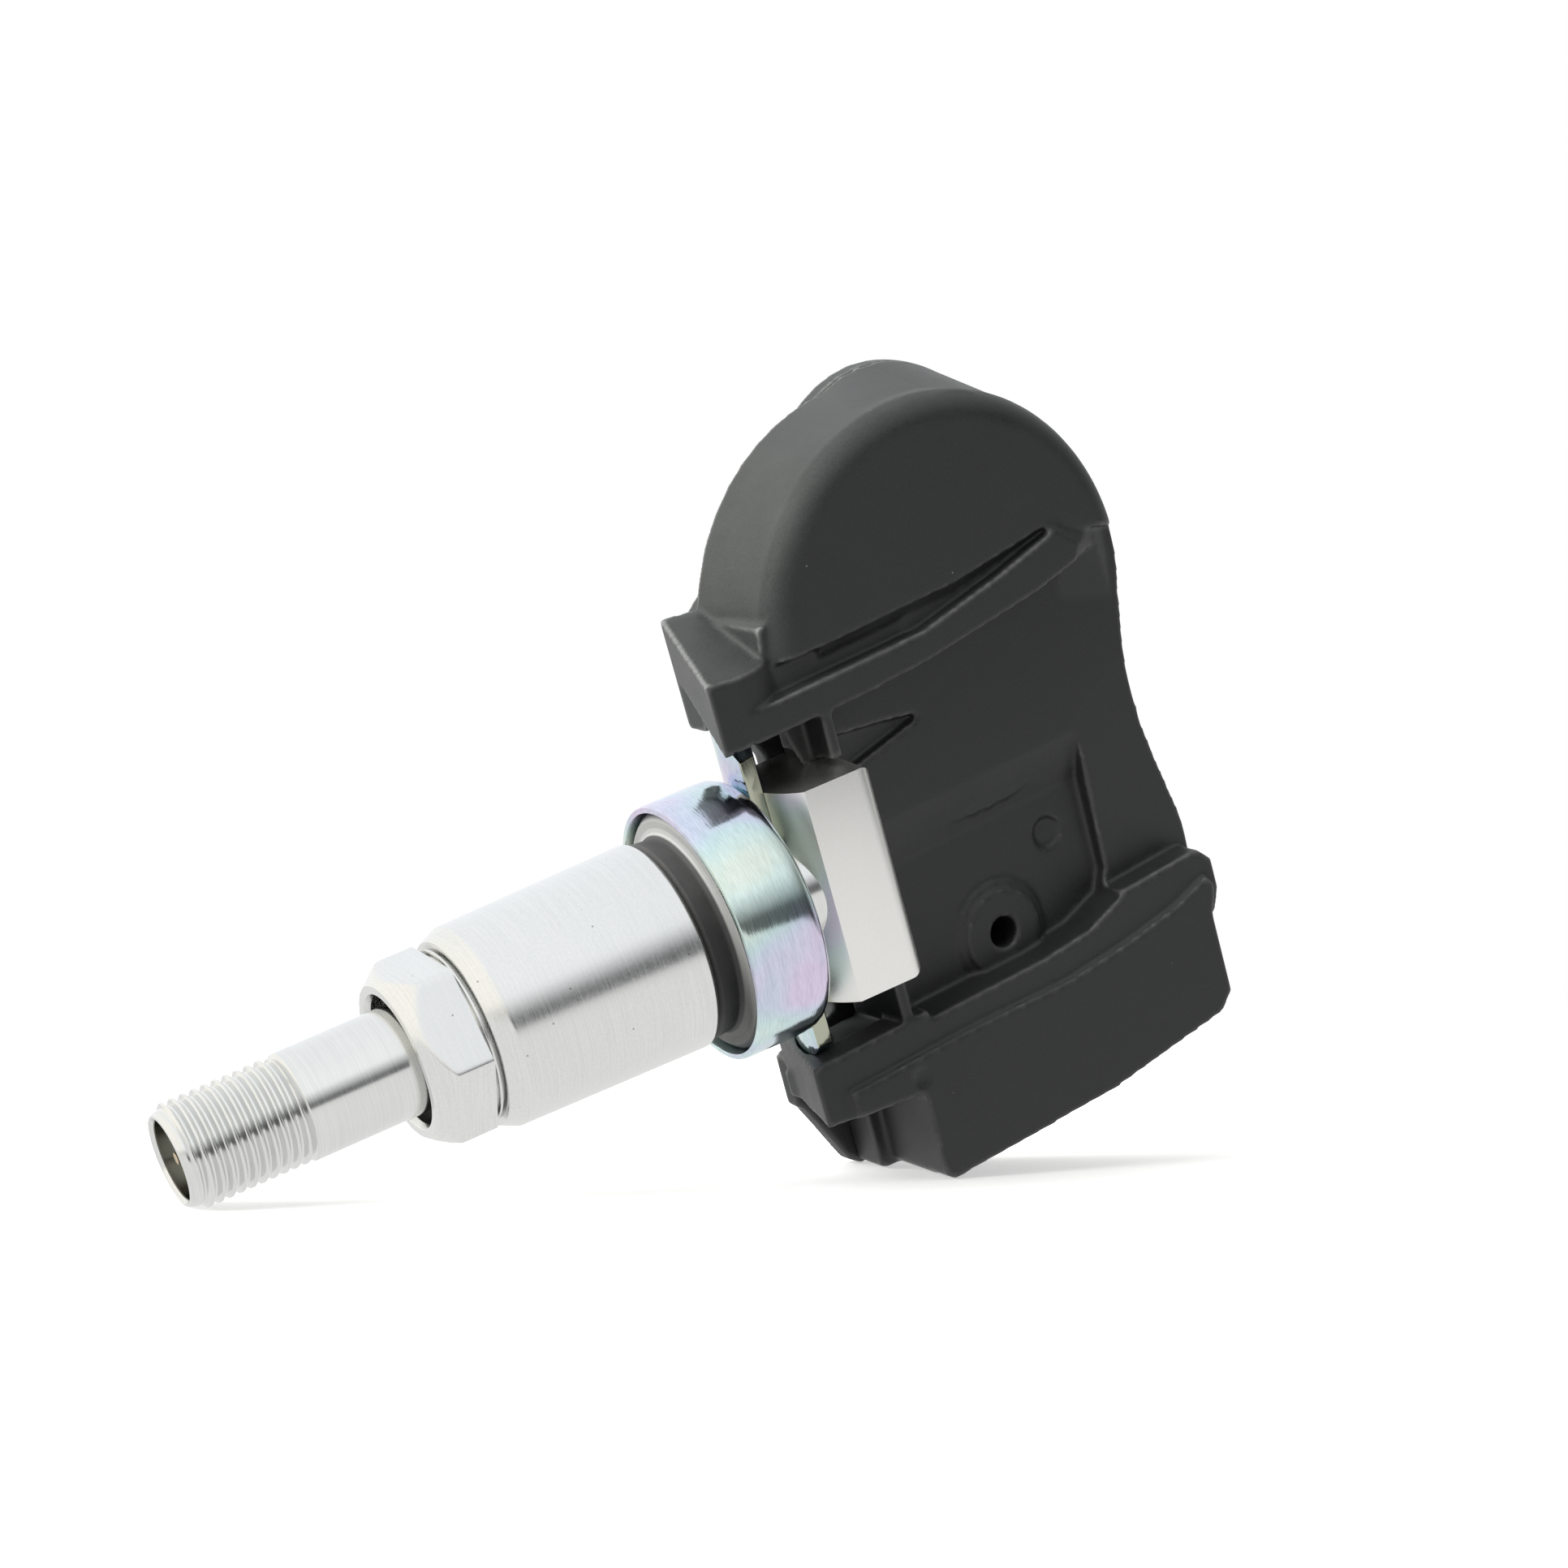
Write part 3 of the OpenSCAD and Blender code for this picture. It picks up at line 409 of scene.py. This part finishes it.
def headSection():
    # the bearing face is an arc about the swivel axis, the back corners are rounded
    outline = []
    reach = atan2(head["half"], sqrt(swivel["radius"] ** 2 - head["half"] ** 2))
    for k in range(33):
        angle = -reach + 2 * reach * k / 32
        outline.append((swivel["x"] - swivel["radius"] * cos(angle), swivel["radius"] * sin(angle)))
    for side in (1, -1):
        cx, cy = head["back"] - head["corner"], side * (head["half"] - head["corner"])
        arc = [(cx + head["corner"] * sin(pi / 2 * k / 10), cy + side * head["corner"] * cos(pi / 2 * k / 10))
               for k in range(11)]
        outline += arc if side == 1 else arc[::-1]
    return outline


def headFront():
    r = head["endCorner"]
    half = head["length"] / 2
    outline = [(head["ridge"], -half), (head["ridge"], half)]
    for side in (1, -1):
        arc = [(head["back"] - r + r * sin(pi / 2 * k / 10), side * (half - r + r * cos(pi / 2 * k / 10)))
               for k in range(11)]
        outline += arc if side == 1 else arc[::-1]
    return outline


half = head["length"] / 2
cutHalf = half + head["spare"]
block = bpy.data.objects.new("headBlock", prismMesh("headBlock", headSection(), -half, half, "z"))
cutter = bpy.data.objects.new("headCutter", prismMesh("headCutter", headFront(), -cutHalf, cutHalf, "y"))
for obj in (block, cutter):
    scene.collection.objects.link(obj)
trim = block.modifiers.new("trim", "BOOLEAN")
trim.operation = "INTERSECT"
trim.object = cutter
trim.solver = "EXACT"
addBevel(block, head["edge"], 3)
mesh = applied(block)
for obj in (block, cutter):
    bpy.data.objects.remove(obj)
addPiece("stemHead", mesh, etched, "stem", "valve_stem")
print("stem made")


# valve thread, a helix by Geometry Nodes

thread = {"Pitch": 0.794, "Root radius": 3.38, "Inner radius": 3.1, "Thread height": 0.46,
          "Start": -37.45, "End": -28.9, "Fade": 0.4}


def threadTree():
    # a grid wrapped round the axis; its radius follows the thread form along one continuous helix
    tree = bpy.data.node_groups.new("valveThread", "GeometryNodeTree")
    tree.interface.new_socket("Geometry", in_out="OUTPUT", socket_type="NodeSocketGeometry")
    for label in thread:
        tree.interface.new_socket(label, in_out="INPUT", socket_type="NodeSocketFloat")
    size = addNode(tree, "NodeGroupInput").outputs
    kind = "ShaderNodeMath"
    grid = addNode(tree, "GeometryNodeMeshGrid", {}, {
        "Size X": 1.0, "Size Y": 1.0, "Vertices X": 177, "Vertices Y": 97})
    flat = addNode(tree, "GeometryNodeInputPosition").outputs[0]
    place = addNode(tree, "ShaderNodeSeparateXYZ", {}, {"Vector": flat}).outputs
    along = addNode(tree, kind, {"operation": "ADD"}, {0: place[0], 1: 0.5}).outputs[0]
    turn = addNode(tree, kind, {"operation": "ADD"}, {0: place[1], 1: 0.5}).outputs[0]
    x = addNode(tree, "ShaderNodeMapRange", {}, {
        "Value": along, "To Min": size["Start"], "To Max": size["End"]}).outputs[0]
    pitches = addNode(tree, kind, {"operation": "DIVIDE"}, {0: x, 1: size["Pitch"]}).outputs[0]
    coiled = addNode(tree, kind, {"operation": "ADD"}, {0: pitches, 1: turn}).outputs[0]
    # a triangle wave with flattened crests and roots
    wave = addNode(tree, kind, {"operation": "PINGPONG"}, {0: coiled, 1: 0.5}).outputs[0]
    form = addNode(tree, "ShaderNodeMapRange", {}, {
        "Value": wave, "From Min": 0.05, "From Max": 0.41}).outputs[0]
    fromStart = addNode(tree, kind, {"operation": "SUBTRACT"}, {0: x, 1: size["Start"]}).outputs[0]
    toEnd = addNode(tree, kind, {"operation": "SUBTRACT"}, {0: size["End"], 1: x}).outputs[0]
    nearest = addNode(tree, kind, {"operation": "MINIMUM"}, {0: fromStart, 1: toEnd}).outputs[0]
    fade = addNode(tree, "ShaderNodeMapRange", {}, {"Value": nearest, "From Max": size["Fade"]}).outputs[0]
    faded = addNode(tree, kind, {"operation": "MULTIPLY"}, {0: form, 1: fade}).outputs[0]
    outer = addNode(tree, kind, {"operation": "MULTIPLY_ADD"}, {
        0: faded, 1: size["Thread height"], 2: size["Root radius"]}).outputs[0]
    # the first and last rings drop to the inner radius, where the tube is closed
    middle = addNode(tree, kind, {"operation": "GREATER_THAN"}, {0: nearest, 1: 0.01}).outputs[0]
    radius = addNode(tree, "ShaderNodeMapRange", {}, {
        "Value": middle, "To Min": size["Inner radius"], "To Max": outer}).outputs[0]
    angle = addNode(tree, kind, {"operation": "MULTIPLY"}, {0: turn, 1: 2 * pi}).outputs[0]
    cosine = addNode(tree, kind, {"operation": "COSINE"}, {0: angle}).outputs[0]
    sine = addNode(tree, kind, {"operation": "SINE"}, {0: angle}).outputs[0]
    y = addNode(tree, kind, {"operation": "MULTIPLY"}, {0: radius, 1: cosine}).outputs[0]
    z = addNode(tree, kind, {"operation": "MULTIPLY"}, {0: radius, 1: sine}).outputs[0]
    spot = addNode(tree, "ShaderNodeCombineXYZ", {}, {"X": x, "Y": y, "Z": z}).outputs[0]
    scaled = addNode(tree, "ShaderNodeVectorMath", {"operation": "SCALE"}, {0: spot, "Scale": mm}).outputs[0]
    moved = addNode(tree, "GeometryNodeSetPosition", {}, {"Geometry": grid.outputs["Mesh"], "Position": scaled})
    merged = addNode(tree, "GeometryNodeMergeByDistance", {}, {
        "Geometry": moved.outputs[0], "Distance": 1e-7})
    real = addNode(tree, "GeometryNodeRealizeInstances", {}, {"Geometry": merged.outputs[0]})
    dressed = addNode(tree, "GeometryNodeSetMaterial", {}, {"Geometry": real.outputs[0], "Material": bright})
    addNode(tree, "NodeGroupOutput", {}, {0: dressed.outputs[0]})
    return tree


carrier = bpy.data.objects.new("threadCarrier", bpy.data.meshes.new("threadCarrier"))
scene.collection.objects.link(carrier)
maker = carrier.modifiers.new("thread", "NODES")
maker.node_group = threadTree()
for item in maker.node_group.interface.items_tree:
    if item.in_out == "INPUT":
        maker[item.identifier] = thread[item.name]
mesh = applied(carrier)
bpy.data.objects.remove(carrier)
bm = bmesh.new()
bm.from_mesh(mesh)
bmesh.ops.bridge_loops(bm, edges=[e for e in bm.edges if e.is_boundary])
bmesh.ops.recalc_face_normals(bm, faces=bm.faces)
bm.to_mesh(mesh)
bm.free()
addPiece("valveThread", mesh, bright, "stem", "valve_stem", 60)
print("thread made")


# collar nut

nut = {"front": -21.05, "hexEnd": -16.15, "acrossFlats": 12.0, "turn": -28.8, "sleeve": 7.6, "soft": 0.09,
       "face": 5.55, "chamferLength": 1.9, "grooveFloor": 5.86, "grooveLand": 6.3, "back": -0.05,
       "bore": 4.23, "mouth": 4.75, "counterbore": 5.75, "flatFrom": 5.4, "ease": 0.05}


def hexRadius(angle):
    # six flats, with the corners between them eased
    total = 0.0
    for k in range(6):
        a = cos(angle - radians(nut["turn"]) + pi / 2 - pi / 6 - k * pi / 3)
        if a > 0.3:
            total += exp(-(nut["acrossFlats"] / 2 / a) / nut["soft"])
    return -nut["soft"] * log(total)


def nutRadius(x, r, angle):
    # the hexagon's flats where they are lower than the turned outline, with a soft meeting line
    if x < nut["hexEnd"] - 0.47 and r > nut["flatFrom"]:
        flat = hexRadius(angle)
        k = nut["ease"]
        low, high = min(r, flat), max(r, flat)
        return low if high - low > 10 * k else low - k * 0.69 * max(0.0, 1 - (high - low) / (10 * k)) ** 3
    return r


corner = nut["acrossFlats"] / sqrt(3)
end, floor, land = nut["hexEnd"], nut["grooveFloor"], nut["grooveLand"]
chamfer = [(nut["front"] + nut["chamferLength"] * k / 16, nut["face"] + (corner + 0.15 - nut["face"]) * k / 16)
           for k in range(1, 17)]
flats = [(x, corner + 0.2) for x in (-19.0, -18.4, -17.8, -17.2, -16.8)]
# two narrow grooves with a land between them
groove = [(end - 0.5, corner + 0.2), (end - 0.48, floor, 0.03), (end - 0.36, floor, 0.03),
          (end - 0.34, land, 0.04), (end - 0.16, land, 0.04), (end - 0.14, floor, 0.03), (end, floor, 0.03)]
sleeve = [(end + 0.06, 6.75, 0.08), (end + 0.4, 6.93, 0.1), (end + 1.35, 7.35, 0.6), (-8.0, 7.47),
          (-0.35, nut["sleeve"], 0.2), (nut["back"], 7.3, 0.1)]
inside = [(nut["back"], nut["counterbore"] + 0.01, 0.1), (-7.2, nut["counterbore"]), (-8.0, nut["bore"]),
          (-16.35, nut["bore"]), (-16.85, nut["mouth"]), (-20.55, nut["mouth"], 0.1)]
mesh = turnedMesh(
    "collarNut", [(nut["front"], 4.95, 0.12), (nut["front"], nut["face"], 0.05)]
    + chamfer + flats + groove + sleeve + inside, 288, nutRadius)
addPiece("collarNut", mesh, satin, "nut", "collar_nut", 38)
print("nut made")


# grommet and cup washer

mesh = turnedMesh("sealingGrommet", [
    (-6.5, 5.15, 0.1), (-6.0, 5.65, 0.1), (0.0, 5.65), (0.0, 7.1, 0.15), (0.3, 7.35, 0.2), (1.65, 7.2, 0.4),
    (2.05, 7.5, 0.3), (2.15, 7.85, 0.1), (2.15, 8.4, 0.3), (2.65, 8.88, 0.3), (5.9, 8.88), (7.35, 7.43),
    (7.35, 4.21), (-6.5, 4.21)])
addPiece("sealingGrommet", mesh, rubber, "stem", "sealing_grommet", 60)

ring = {"front": 1.85, "back": 8.1, "outer": 9.5, "sheet": 0.5, "corner": 1.6}
mesh = turnedMesh("cupWasher", [
    (ring["front"], ring["outer"] - 0.44, 0.08), (ring["front"] + 0.1, ring["outer"] - 0.05, 0.08),
    (ring["front"] + 0.5, ring["outer"]), (ring["back"], ring["outer"], ring["corner"]),
    (ring["back"], 4.26, 0.05), (ring["back"] - 0.7, 4.26, 0.05), (ring["back"] - 0.7, 7.9, 0.2),
    (ring["back"] - ring["corner"], ring["outer"] - ring["sheet"], 0.9),
    (ring["front"] + 0.2, ring["outer"] - ring["sheet"])])
addPiece("cupWasher", mesh, zinc, "stem", "cup_washer", 50)
print("grommet and washer made")


# copies of CAD nodes with softened edges

def mergedCopy(name, node):
    bm = bmesh.new()
    bm.from_mesh(nodes[node].data)
    bmesh.ops.remove_doubles(bm, verts=bm.verts, dist=2e-6)
    bmesh.ops.dissolve_degenerate(bm, edges=bm.edges, dist=1e-6)
    mesh = bpy.data.meshes.new(name)
    bm.to_mesh(mesh)
    bm.free()
    obj = bpy.data.objects.new(name, mesh)
    scene.collection.objects.link(obj)
    return obj


def addLump(mesh, points):
    # one convex lump, given in the housing's frame in mm; the remesh melts it in
    bm = bmesh.new()
    for point in points:
        bm.verts.new(toHousing @ (Vector(point) * mm))
    hull = bmesh.ops.convex_hull(bm, input=bm.verts)
    spare = [g for g in hull["geom_interior"] if isinstance(g, bmesh.types.BMVert)]
    bmesh.ops.delete(bm, geom=spare, context="VERTS")
    bmesh.ops.recalc_face_normals(bm, faces=bm.faces)
    lump = bpy.data.meshes.new("lump")
    bm.to_mesh(lump)
    bm.free()
    bm = bmesh.new()
    bm.from_mesh(mesh)
    bm.from_mesh(lump)
    bm.to_mesh(mesh)
    bm.free()
    bpy.data.meshes.remove(lump)


def markRidges(mesh):
    # how sharply the skin bends outwards, per mm, kept on its points for the paler edges, which paint wear and
    # edge highlight
    count = len(mesh.vertices)
    place = np.empty(count * 3)
    normal = np.empty(count * 3)
    ends = np.empty(len(mesh.edges) * 2, dtype=np.int32)
    mesh.vertices.foreach_get("co", place)
    mesh.vertices.foreach_get("normal", normal)
    mesh.edges.foreach_get("vertices", ends)
    place, normal, ends = place.reshape(-1, 3) / mm, normal.reshape(-1, 3), ends.reshape(-1, 2)
    a, b = ends[:, 0], ends[:, 1]
    step = place[b] - place[a]
    bend = ((normal[b] - normal[a]) * step).sum(axis=1) / np.maximum((step ** 2).sum(axis=1), 0.002)
    links = np.bincount(a, minlength=count) + np.bincount(b, minlength=count)
    value = (np.bincount(a, bend, count) + np.bincount(b, bend, count)) / np.maximum(links, 1)
    for again in range(3):
        around = np.bincount(a, value[b], count) + np.bincount(b, value[a], count)
        value = 0.5 * value + 0.5 * around / np.maximum(links, 1)
    mesh.attributes.new("ridge", "FLOAT", "POINT").data.foreach_set("value", value.astype(np.float32))


def mouldedMesh(name, node, settings):
    # remeshed and smoothed, so that each edge gets the small radius of a mould
    obj = mergedCopy(name, node)
    for points in settings["lumps"]:
        addLump(obj.data, points)
    skin = obj.modifiers.new("skin", "REMESH")
    skin.mode = "VOXEL"
    skin.voxel_size = settings["voxel"] * mm
    ease = obj.modifiers.new("ease", "SMOOTH")
    ease.factor = 0.5
    ease.iterations = settings["ease"]
    thin = obj.modifiers.new("thin", "DECIMATE")
    thin.ratio = settings["keep"]
    thin.use_collapse_triangulate = True
    mesh = applied(obj)
    markRidges(mesh)
    bpy.data.objects.remove(obj)
    return mesh


def ringOf(x, z, r, y):
    return [(x + r * cos(2 * pi * k / 72), y, z + r * sin(2 * pi * k / 72)) for k in range(72)]


def slopeOf(upper, lower, top, foot):
    # fills the corner under an edge: upper and lower are (x, z) ends, top and foot their depths
    inside = 2.0
    return ([(x, y, z) for x, z in upper for y in (top, inside)]
            + [(x, y, z) for x, z in lower for y in (foot, inside)])


shell = {"voxel": 0.17, "ease": 10, "keep": 0.36, "lumps": [
    # flare of the round end's side towards its foot
    ringOf(11.5, 14.6, 15.6, 0.6) + ringOf(14.3, 22.1, 9.15, 7.3),
    # slopes in the valley under the round end's edge, then the valley's floor
    slopeOf([(0.0, 16.3), (12.2, 16.6)], [(0.0, 15.4), (12.2, 15.7)], -1.6, -0.95),
    slopeOf([(12.2, 16.6), (20.8, 17.7)], [(12.2, 15.8), (20.4, 17.1)], -1.6, -0.95),
    slopeOf([(7.5, 16.4), (21.0, 17.8)], [(7.5, 14.2), (20.9, 17.1)], -0.95, -0.95),
    # blend at the right of the round end
    slopeOf([(20.5, 19.5), (24.2, 18.8)], [(21.5, 11.0), (25.8, 9.5)], -1.72, -0.1) + [
        (26.8, 0.35, 17.5), (27.2, 0.4, 14.0), (27.0, 0.4, 11.0)],
    # taper at the ledge's right end
    slopeOf([(20.5, 17.3), (22.8, 15.4), (22.0, 14.2)], [(23.4, 18.0), (25.0, 16.4), (24.6, 14.6)],
            -2.05, -1.05)]}
mesh = mouldedMesh("housingShell", "housing_shell", shell)
print("shell faces:", len(mesh.polygons))
addPiece("housingShell", mesh, nylon, "housing", "housing_shell", 70)

cover = {"voxel": 0.17, "ease": 8, "keep": 0.36, "lumps": []}
mesh = mouldedMesh("backCover", "back_cover", cover)
print("cover faces:", len(mesh.polygons))
addPiece("backCover", mesh, nylon, "housing", "back_cover", 70)

plate = {"edge": 0.14}
obj = mergedCopy("plateCopy", "saddle_plate")
bm = bmesh.new()
bm.from_mesh(obj.data)
bmesh.ops.dissolve_limit(bm, angle_limit=radians(0.8), verts=bm.verts, edges=bm.edges)
bm.to_mesh(obj.data)
bm.free()
addBevel(obj, plate["edge"], 2)
mesh = applied(obj)
bpy.data.objects.remove(obj)
addPiece("saddlePlate", mesh, zinc, "housing", "saddle_plate", 35)
print("housing pieces made")

# camera, table and light

camera = {
    "place": (-98.596, -257.871, 98.699),
    "right": (0.85336, -0.455219, -0.254071),
    "up": (0.362884, 0.168785, 0.916421),
    "lens": 96.894,
}
camData = bpy.data.cameras.new("photoCamera")
camData.lens = camera["lens"]
camData.sensor_width = 36
camData.sensor_fit = "HORIZONTAL"
camData.clip_start = 0.01
camData.clip_end = 20
cam = bpy.data.objects.new("photoCamera", camData)
scene.collection.objects.link(cam)
right = Vector(camera["right"]).normalized()
up = Vector(camera["up"])
up = (up - right * up.dot(right)).normalized()
turn = Matrix((right, up, right.cross(up))).transposed().to_4x4()
cam.matrix_world = Matrix.Translation(Vector(camera["place"]) * mm) @ turn
scene.camera = cam

# the part lies on the stem's tip and the housing's lower corners, so the table leans in this frame
table = {"normal": (0.37114, 0.12023, 0.92076), "distance": -17.17, "size": 3000, "dark": "#f1f0ee",
         "light": "#f7f6f4", "glow": 0.45, "mirror": 0.88, "bounce": 0.22, "clearFrom": 90, "clearTo": 190}
tableUp = Vector(table["normal"]).normalized()
side = tableUp.orthogonal().normalized()
other = tableUp.cross(side)
half = table["size"] * mm / 2
centre = tableUp * table["distance"] * mm
bm = bmesh.new()
bm.faces.new([bm.verts.new(centre + side * half * s + other * half * t)
              for s, t in ((-1, -1), (1, -1), (1, 1), (-1, 1))])
mesh = bpy.data.meshes.new("table")
bm.to_mesh(mesh)
bm.free()
tableTop = bpy.data.objects.new("table", mesh)
scene.collection.objects.link(tableTop)

# white card: lit nearly to white with its soft shadow near the part, plain white further off
card, tree, coords, made = surface({
    "name": "white card", "fine": (2.0, 2.0, 2.0), "broad": (60.0, 60.0, 60.0), "broadShare": 0.7,
    "dark": table["dark"], "light": table["light"], "rough": (0.85, 0.95), "relief": (0.0, 0.0)})
rays = addNode(tree, "ShaderNodeLightPath").outputs
glow = addNode(tree, "ShaderNodeEmission", {}, {"Color": (1, 1, 1, 1), "Strength": table["glow"]})
lit = addNode(tree, "ShaderNodeAddShader", {}, {0: made["shader"].outputs["BSDF"], 1: glow.outputs[0]})
plainWhite = addNode(tree, "ShaderNodeEmission", {}, {"Color": (1, 1, 1, 1), "Strength": 1.0})
reach = addNode(tree, "ShaderNodeVectorMath", {"operation": "LENGTH"}, {0: coords})
far = addNode(tree, "ShaderNodeMapRange", {}, {
    "Value": reach.outputs["Value"], "From Min": table["clearFrom"] * mm, "From Max": table["clearTo"] * mm})
faded = addNode(tree, "ShaderNodeMixShader", {}, {
    0: far.outputs[0], 1: lit.outputs[0], 2: plainWhite.outputs[0]})
seen = addNode(tree, "ShaderNodeMixShader", {}, {
    0: rays["Is Camera Ray"], 1: made["shader"].outputs["BSDF"], 2: faded.outputs[0]})
mirrored = addNode(tree, "ShaderNodeEmission", {}, {"Color": (1, 1, 1, 1), "Strength": table["mirror"]})
shiny = addNode(tree, "ShaderNodeMixShader", {}, {
    0: rays["Is Glossy Ray"], 1: seen.outputs[0], 2: mirrored.outputs[0]})
dim = addNode(tree, "ShaderNodeEmission", {}, {"Color": (1, 1, 1, 1), "Strength": table["bounce"]})
bounced = addNode(tree, "ShaderNodeMixShader", {}, {
    0: rays["Is Diffuse Ray"], 1: shiny.outputs[0], 2: dim.outputs[0]})
clear = addNode(tree, "ShaderNodeBsdfTransparent")
final = addNode(tree, "ShaderNodeMixShader", {}, {
    0: addNode(tree, "ShaderNodeNewGeometry").outputs["Backfacing"],
    1: bounced.outputs[0], 2: clear.outputs[0]})
tree.links.new(final.outputs[0], tree.get_output_node("ALL").inputs["Surface"])
tableTop.data.materials.append(card)

# white room with one dark strip behind the camera, which draws the dark band along the turned metal
studio = {"bandAngle": 16.0, "soft": [(0.0, 1.0), (0.5, 0.55), (0.8, 0.2), (1.0, 0.1)],
          "band": [(0.12, 1.0), (0.22, 0.12), (0.42, 0.14), (0.56, 0.5), (0.8, 1.0)],
          "front": [(0.52, 1.0), (0.62, 0.0)],
          "sides": [(0.0, "#fffcf5"), (0.35, "#fffdf8"), (0.66, "#f3f6fa"), (0.85, "#d9dadb"),
                    (1.0, "#b4b4b4")],
          "mirror": 1.15}
world = bpy.data.worlds.new("studio")
world.use_nodes = True
scene.world = world
tree = world.node_tree
tree.nodes.clear()
direction = addNode(tree, "ShaderNodeTexCoord").outputs["Generated"]
rays = addNode(tree, "ShaderNodeLightPath").outputs
lift = radians(studio["bandAngle"])
toCamera = Vector(camera["place"]).normalized()
across = addNode(tree, "ShaderNodeVectorMath", {"operation": "DOT_PRODUCT"}, {
    0: direction, 1: (0, sin(lift), cos(lift))})
ahead = addNode(tree, "ShaderNodeVectorMath", {"operation": "DOT_PRODUCT"}, {
    0: direction, 1: (0, -cos(lift), sin(lift))})
facing = addNode(tree, "ShaderNodeVectorMath", {"operation": "DOT_PRODUCT"}, {
    0: direction, 1: tuple(toCamera)})
acrossShare = addNode(tree, "ShaderNodeMapRange", {}, {
    "Value": across.outputs["Value"], "From Min": -0.5, "From Max": 0.5})
aheadShare = addNode(tree, "ShaderNodeMapRange", {}, {
    "Value": ahead.outputs["Value"], "From Min": -1.0, "From Max": 1.0})
facingShare = addNode(tree, "ShaderNodeMapRange", {}, {
    "Value": facing.outputs["Value"], "From Min": -1.0, "From Max": 1.0})
band = addNode(tree, "ShaderNodeValToRGB", {}, {"Fac": acrossShare.outputs[0]}, studio["band"])
front = addNode(tree, "ShaderNodeValToRGB", {}, {"Fac": aheadShare.outputs[0]}, studio["front"])
ambient = addNode(tree, "ShaderNodeValToRGB", {}, {"Fac": facingShare.outputs[0]}, studio["soft"])
opened = addNode(tree, "ShaderNodeMix", {"data_type": "RGBA", "blend_type": "LIGHTEN"}, {
    0: 1.0, 6: band.outputs[0], 7: front.outputs[0]})
apart = addNode(tree, "ShaderNodeSeparateXYZ", {}, {"Vector": direction})
sideways = addNode(tree, "ShaderNodeMapRange", {}, {
    "Value": apart.outputs["X"], "From Min": -1.0, "From Max": 1.0})
sides = addNode(tree, "ShaderNodeValToRGB", {}, {"Fac": sideways.outputs[0]}, studio["sides"])
room = addNode(tree, "ShaderNodeMix", {"data_type": "RGBA", "blend_type": "MULTIPLY"}, {
    0: 1.0, 6: opened.outputs[2], 7: sides.outputs[0]})
soft = addNode(tree, "ShaderNodeBackground", {}, {"Color": ambient.outputs[0], "Strength": 1.0})
mirror = addNode(tree, "ShaderNodeBackground", {}, {"Color": room.outputs[2], "Strength": studio["mirror"]})
white = addNode(tree, "ShaderNodeBackground", {}, {"Color": (1, 1, 1, 1), "Strength": 1.0})
first = addNode(tree, "ShaderNodeMixShader", {}, {
    0: rays["Is Glossy Ray"], 1: soft.outputs[0], 2: mirror.outputs[0]})
second = addNode(tree, "ShaderNodeMixShader", {}, {
    0: rays["Is Camera Ray"], 1: first.outputs[0], 2: white.outputs[0]})
addNode(tree, "ShaderNodeOutputWorld", {}, {"Surface": second.outputs[0]})


def addSoftbox(name, settings):
    light = bpy.data.lights.new(name, "AREA")
    light.shape = "RECTANGLE"
    light.size = settings["width"] * mm
    light.size_y = settings["height"] * mm
    light.energy = settings["power"]
    obj = bpy.data.objects.new(name, light)
    scene.collection.objects.link(obj)
    place = Vector(settings["place"]) * mm
    aim = Vector(settings["aim"]) * mm
    # the metals mirror the room's strip only, not this lamp
    obj.visible_glossy = False
    obj.matrix_world = Matrix.Translation(place) @ (aim - place).to_track_quat("-Z", "Y").to_matrix().to_4x4()


keyLight = {"place": (-190, 60, 330), "aim": (10, 0, 0), "width": 420, "height": 420, "power": 4.4}
addSoftbox("keySoftbox", keyLight)
print("studio made")
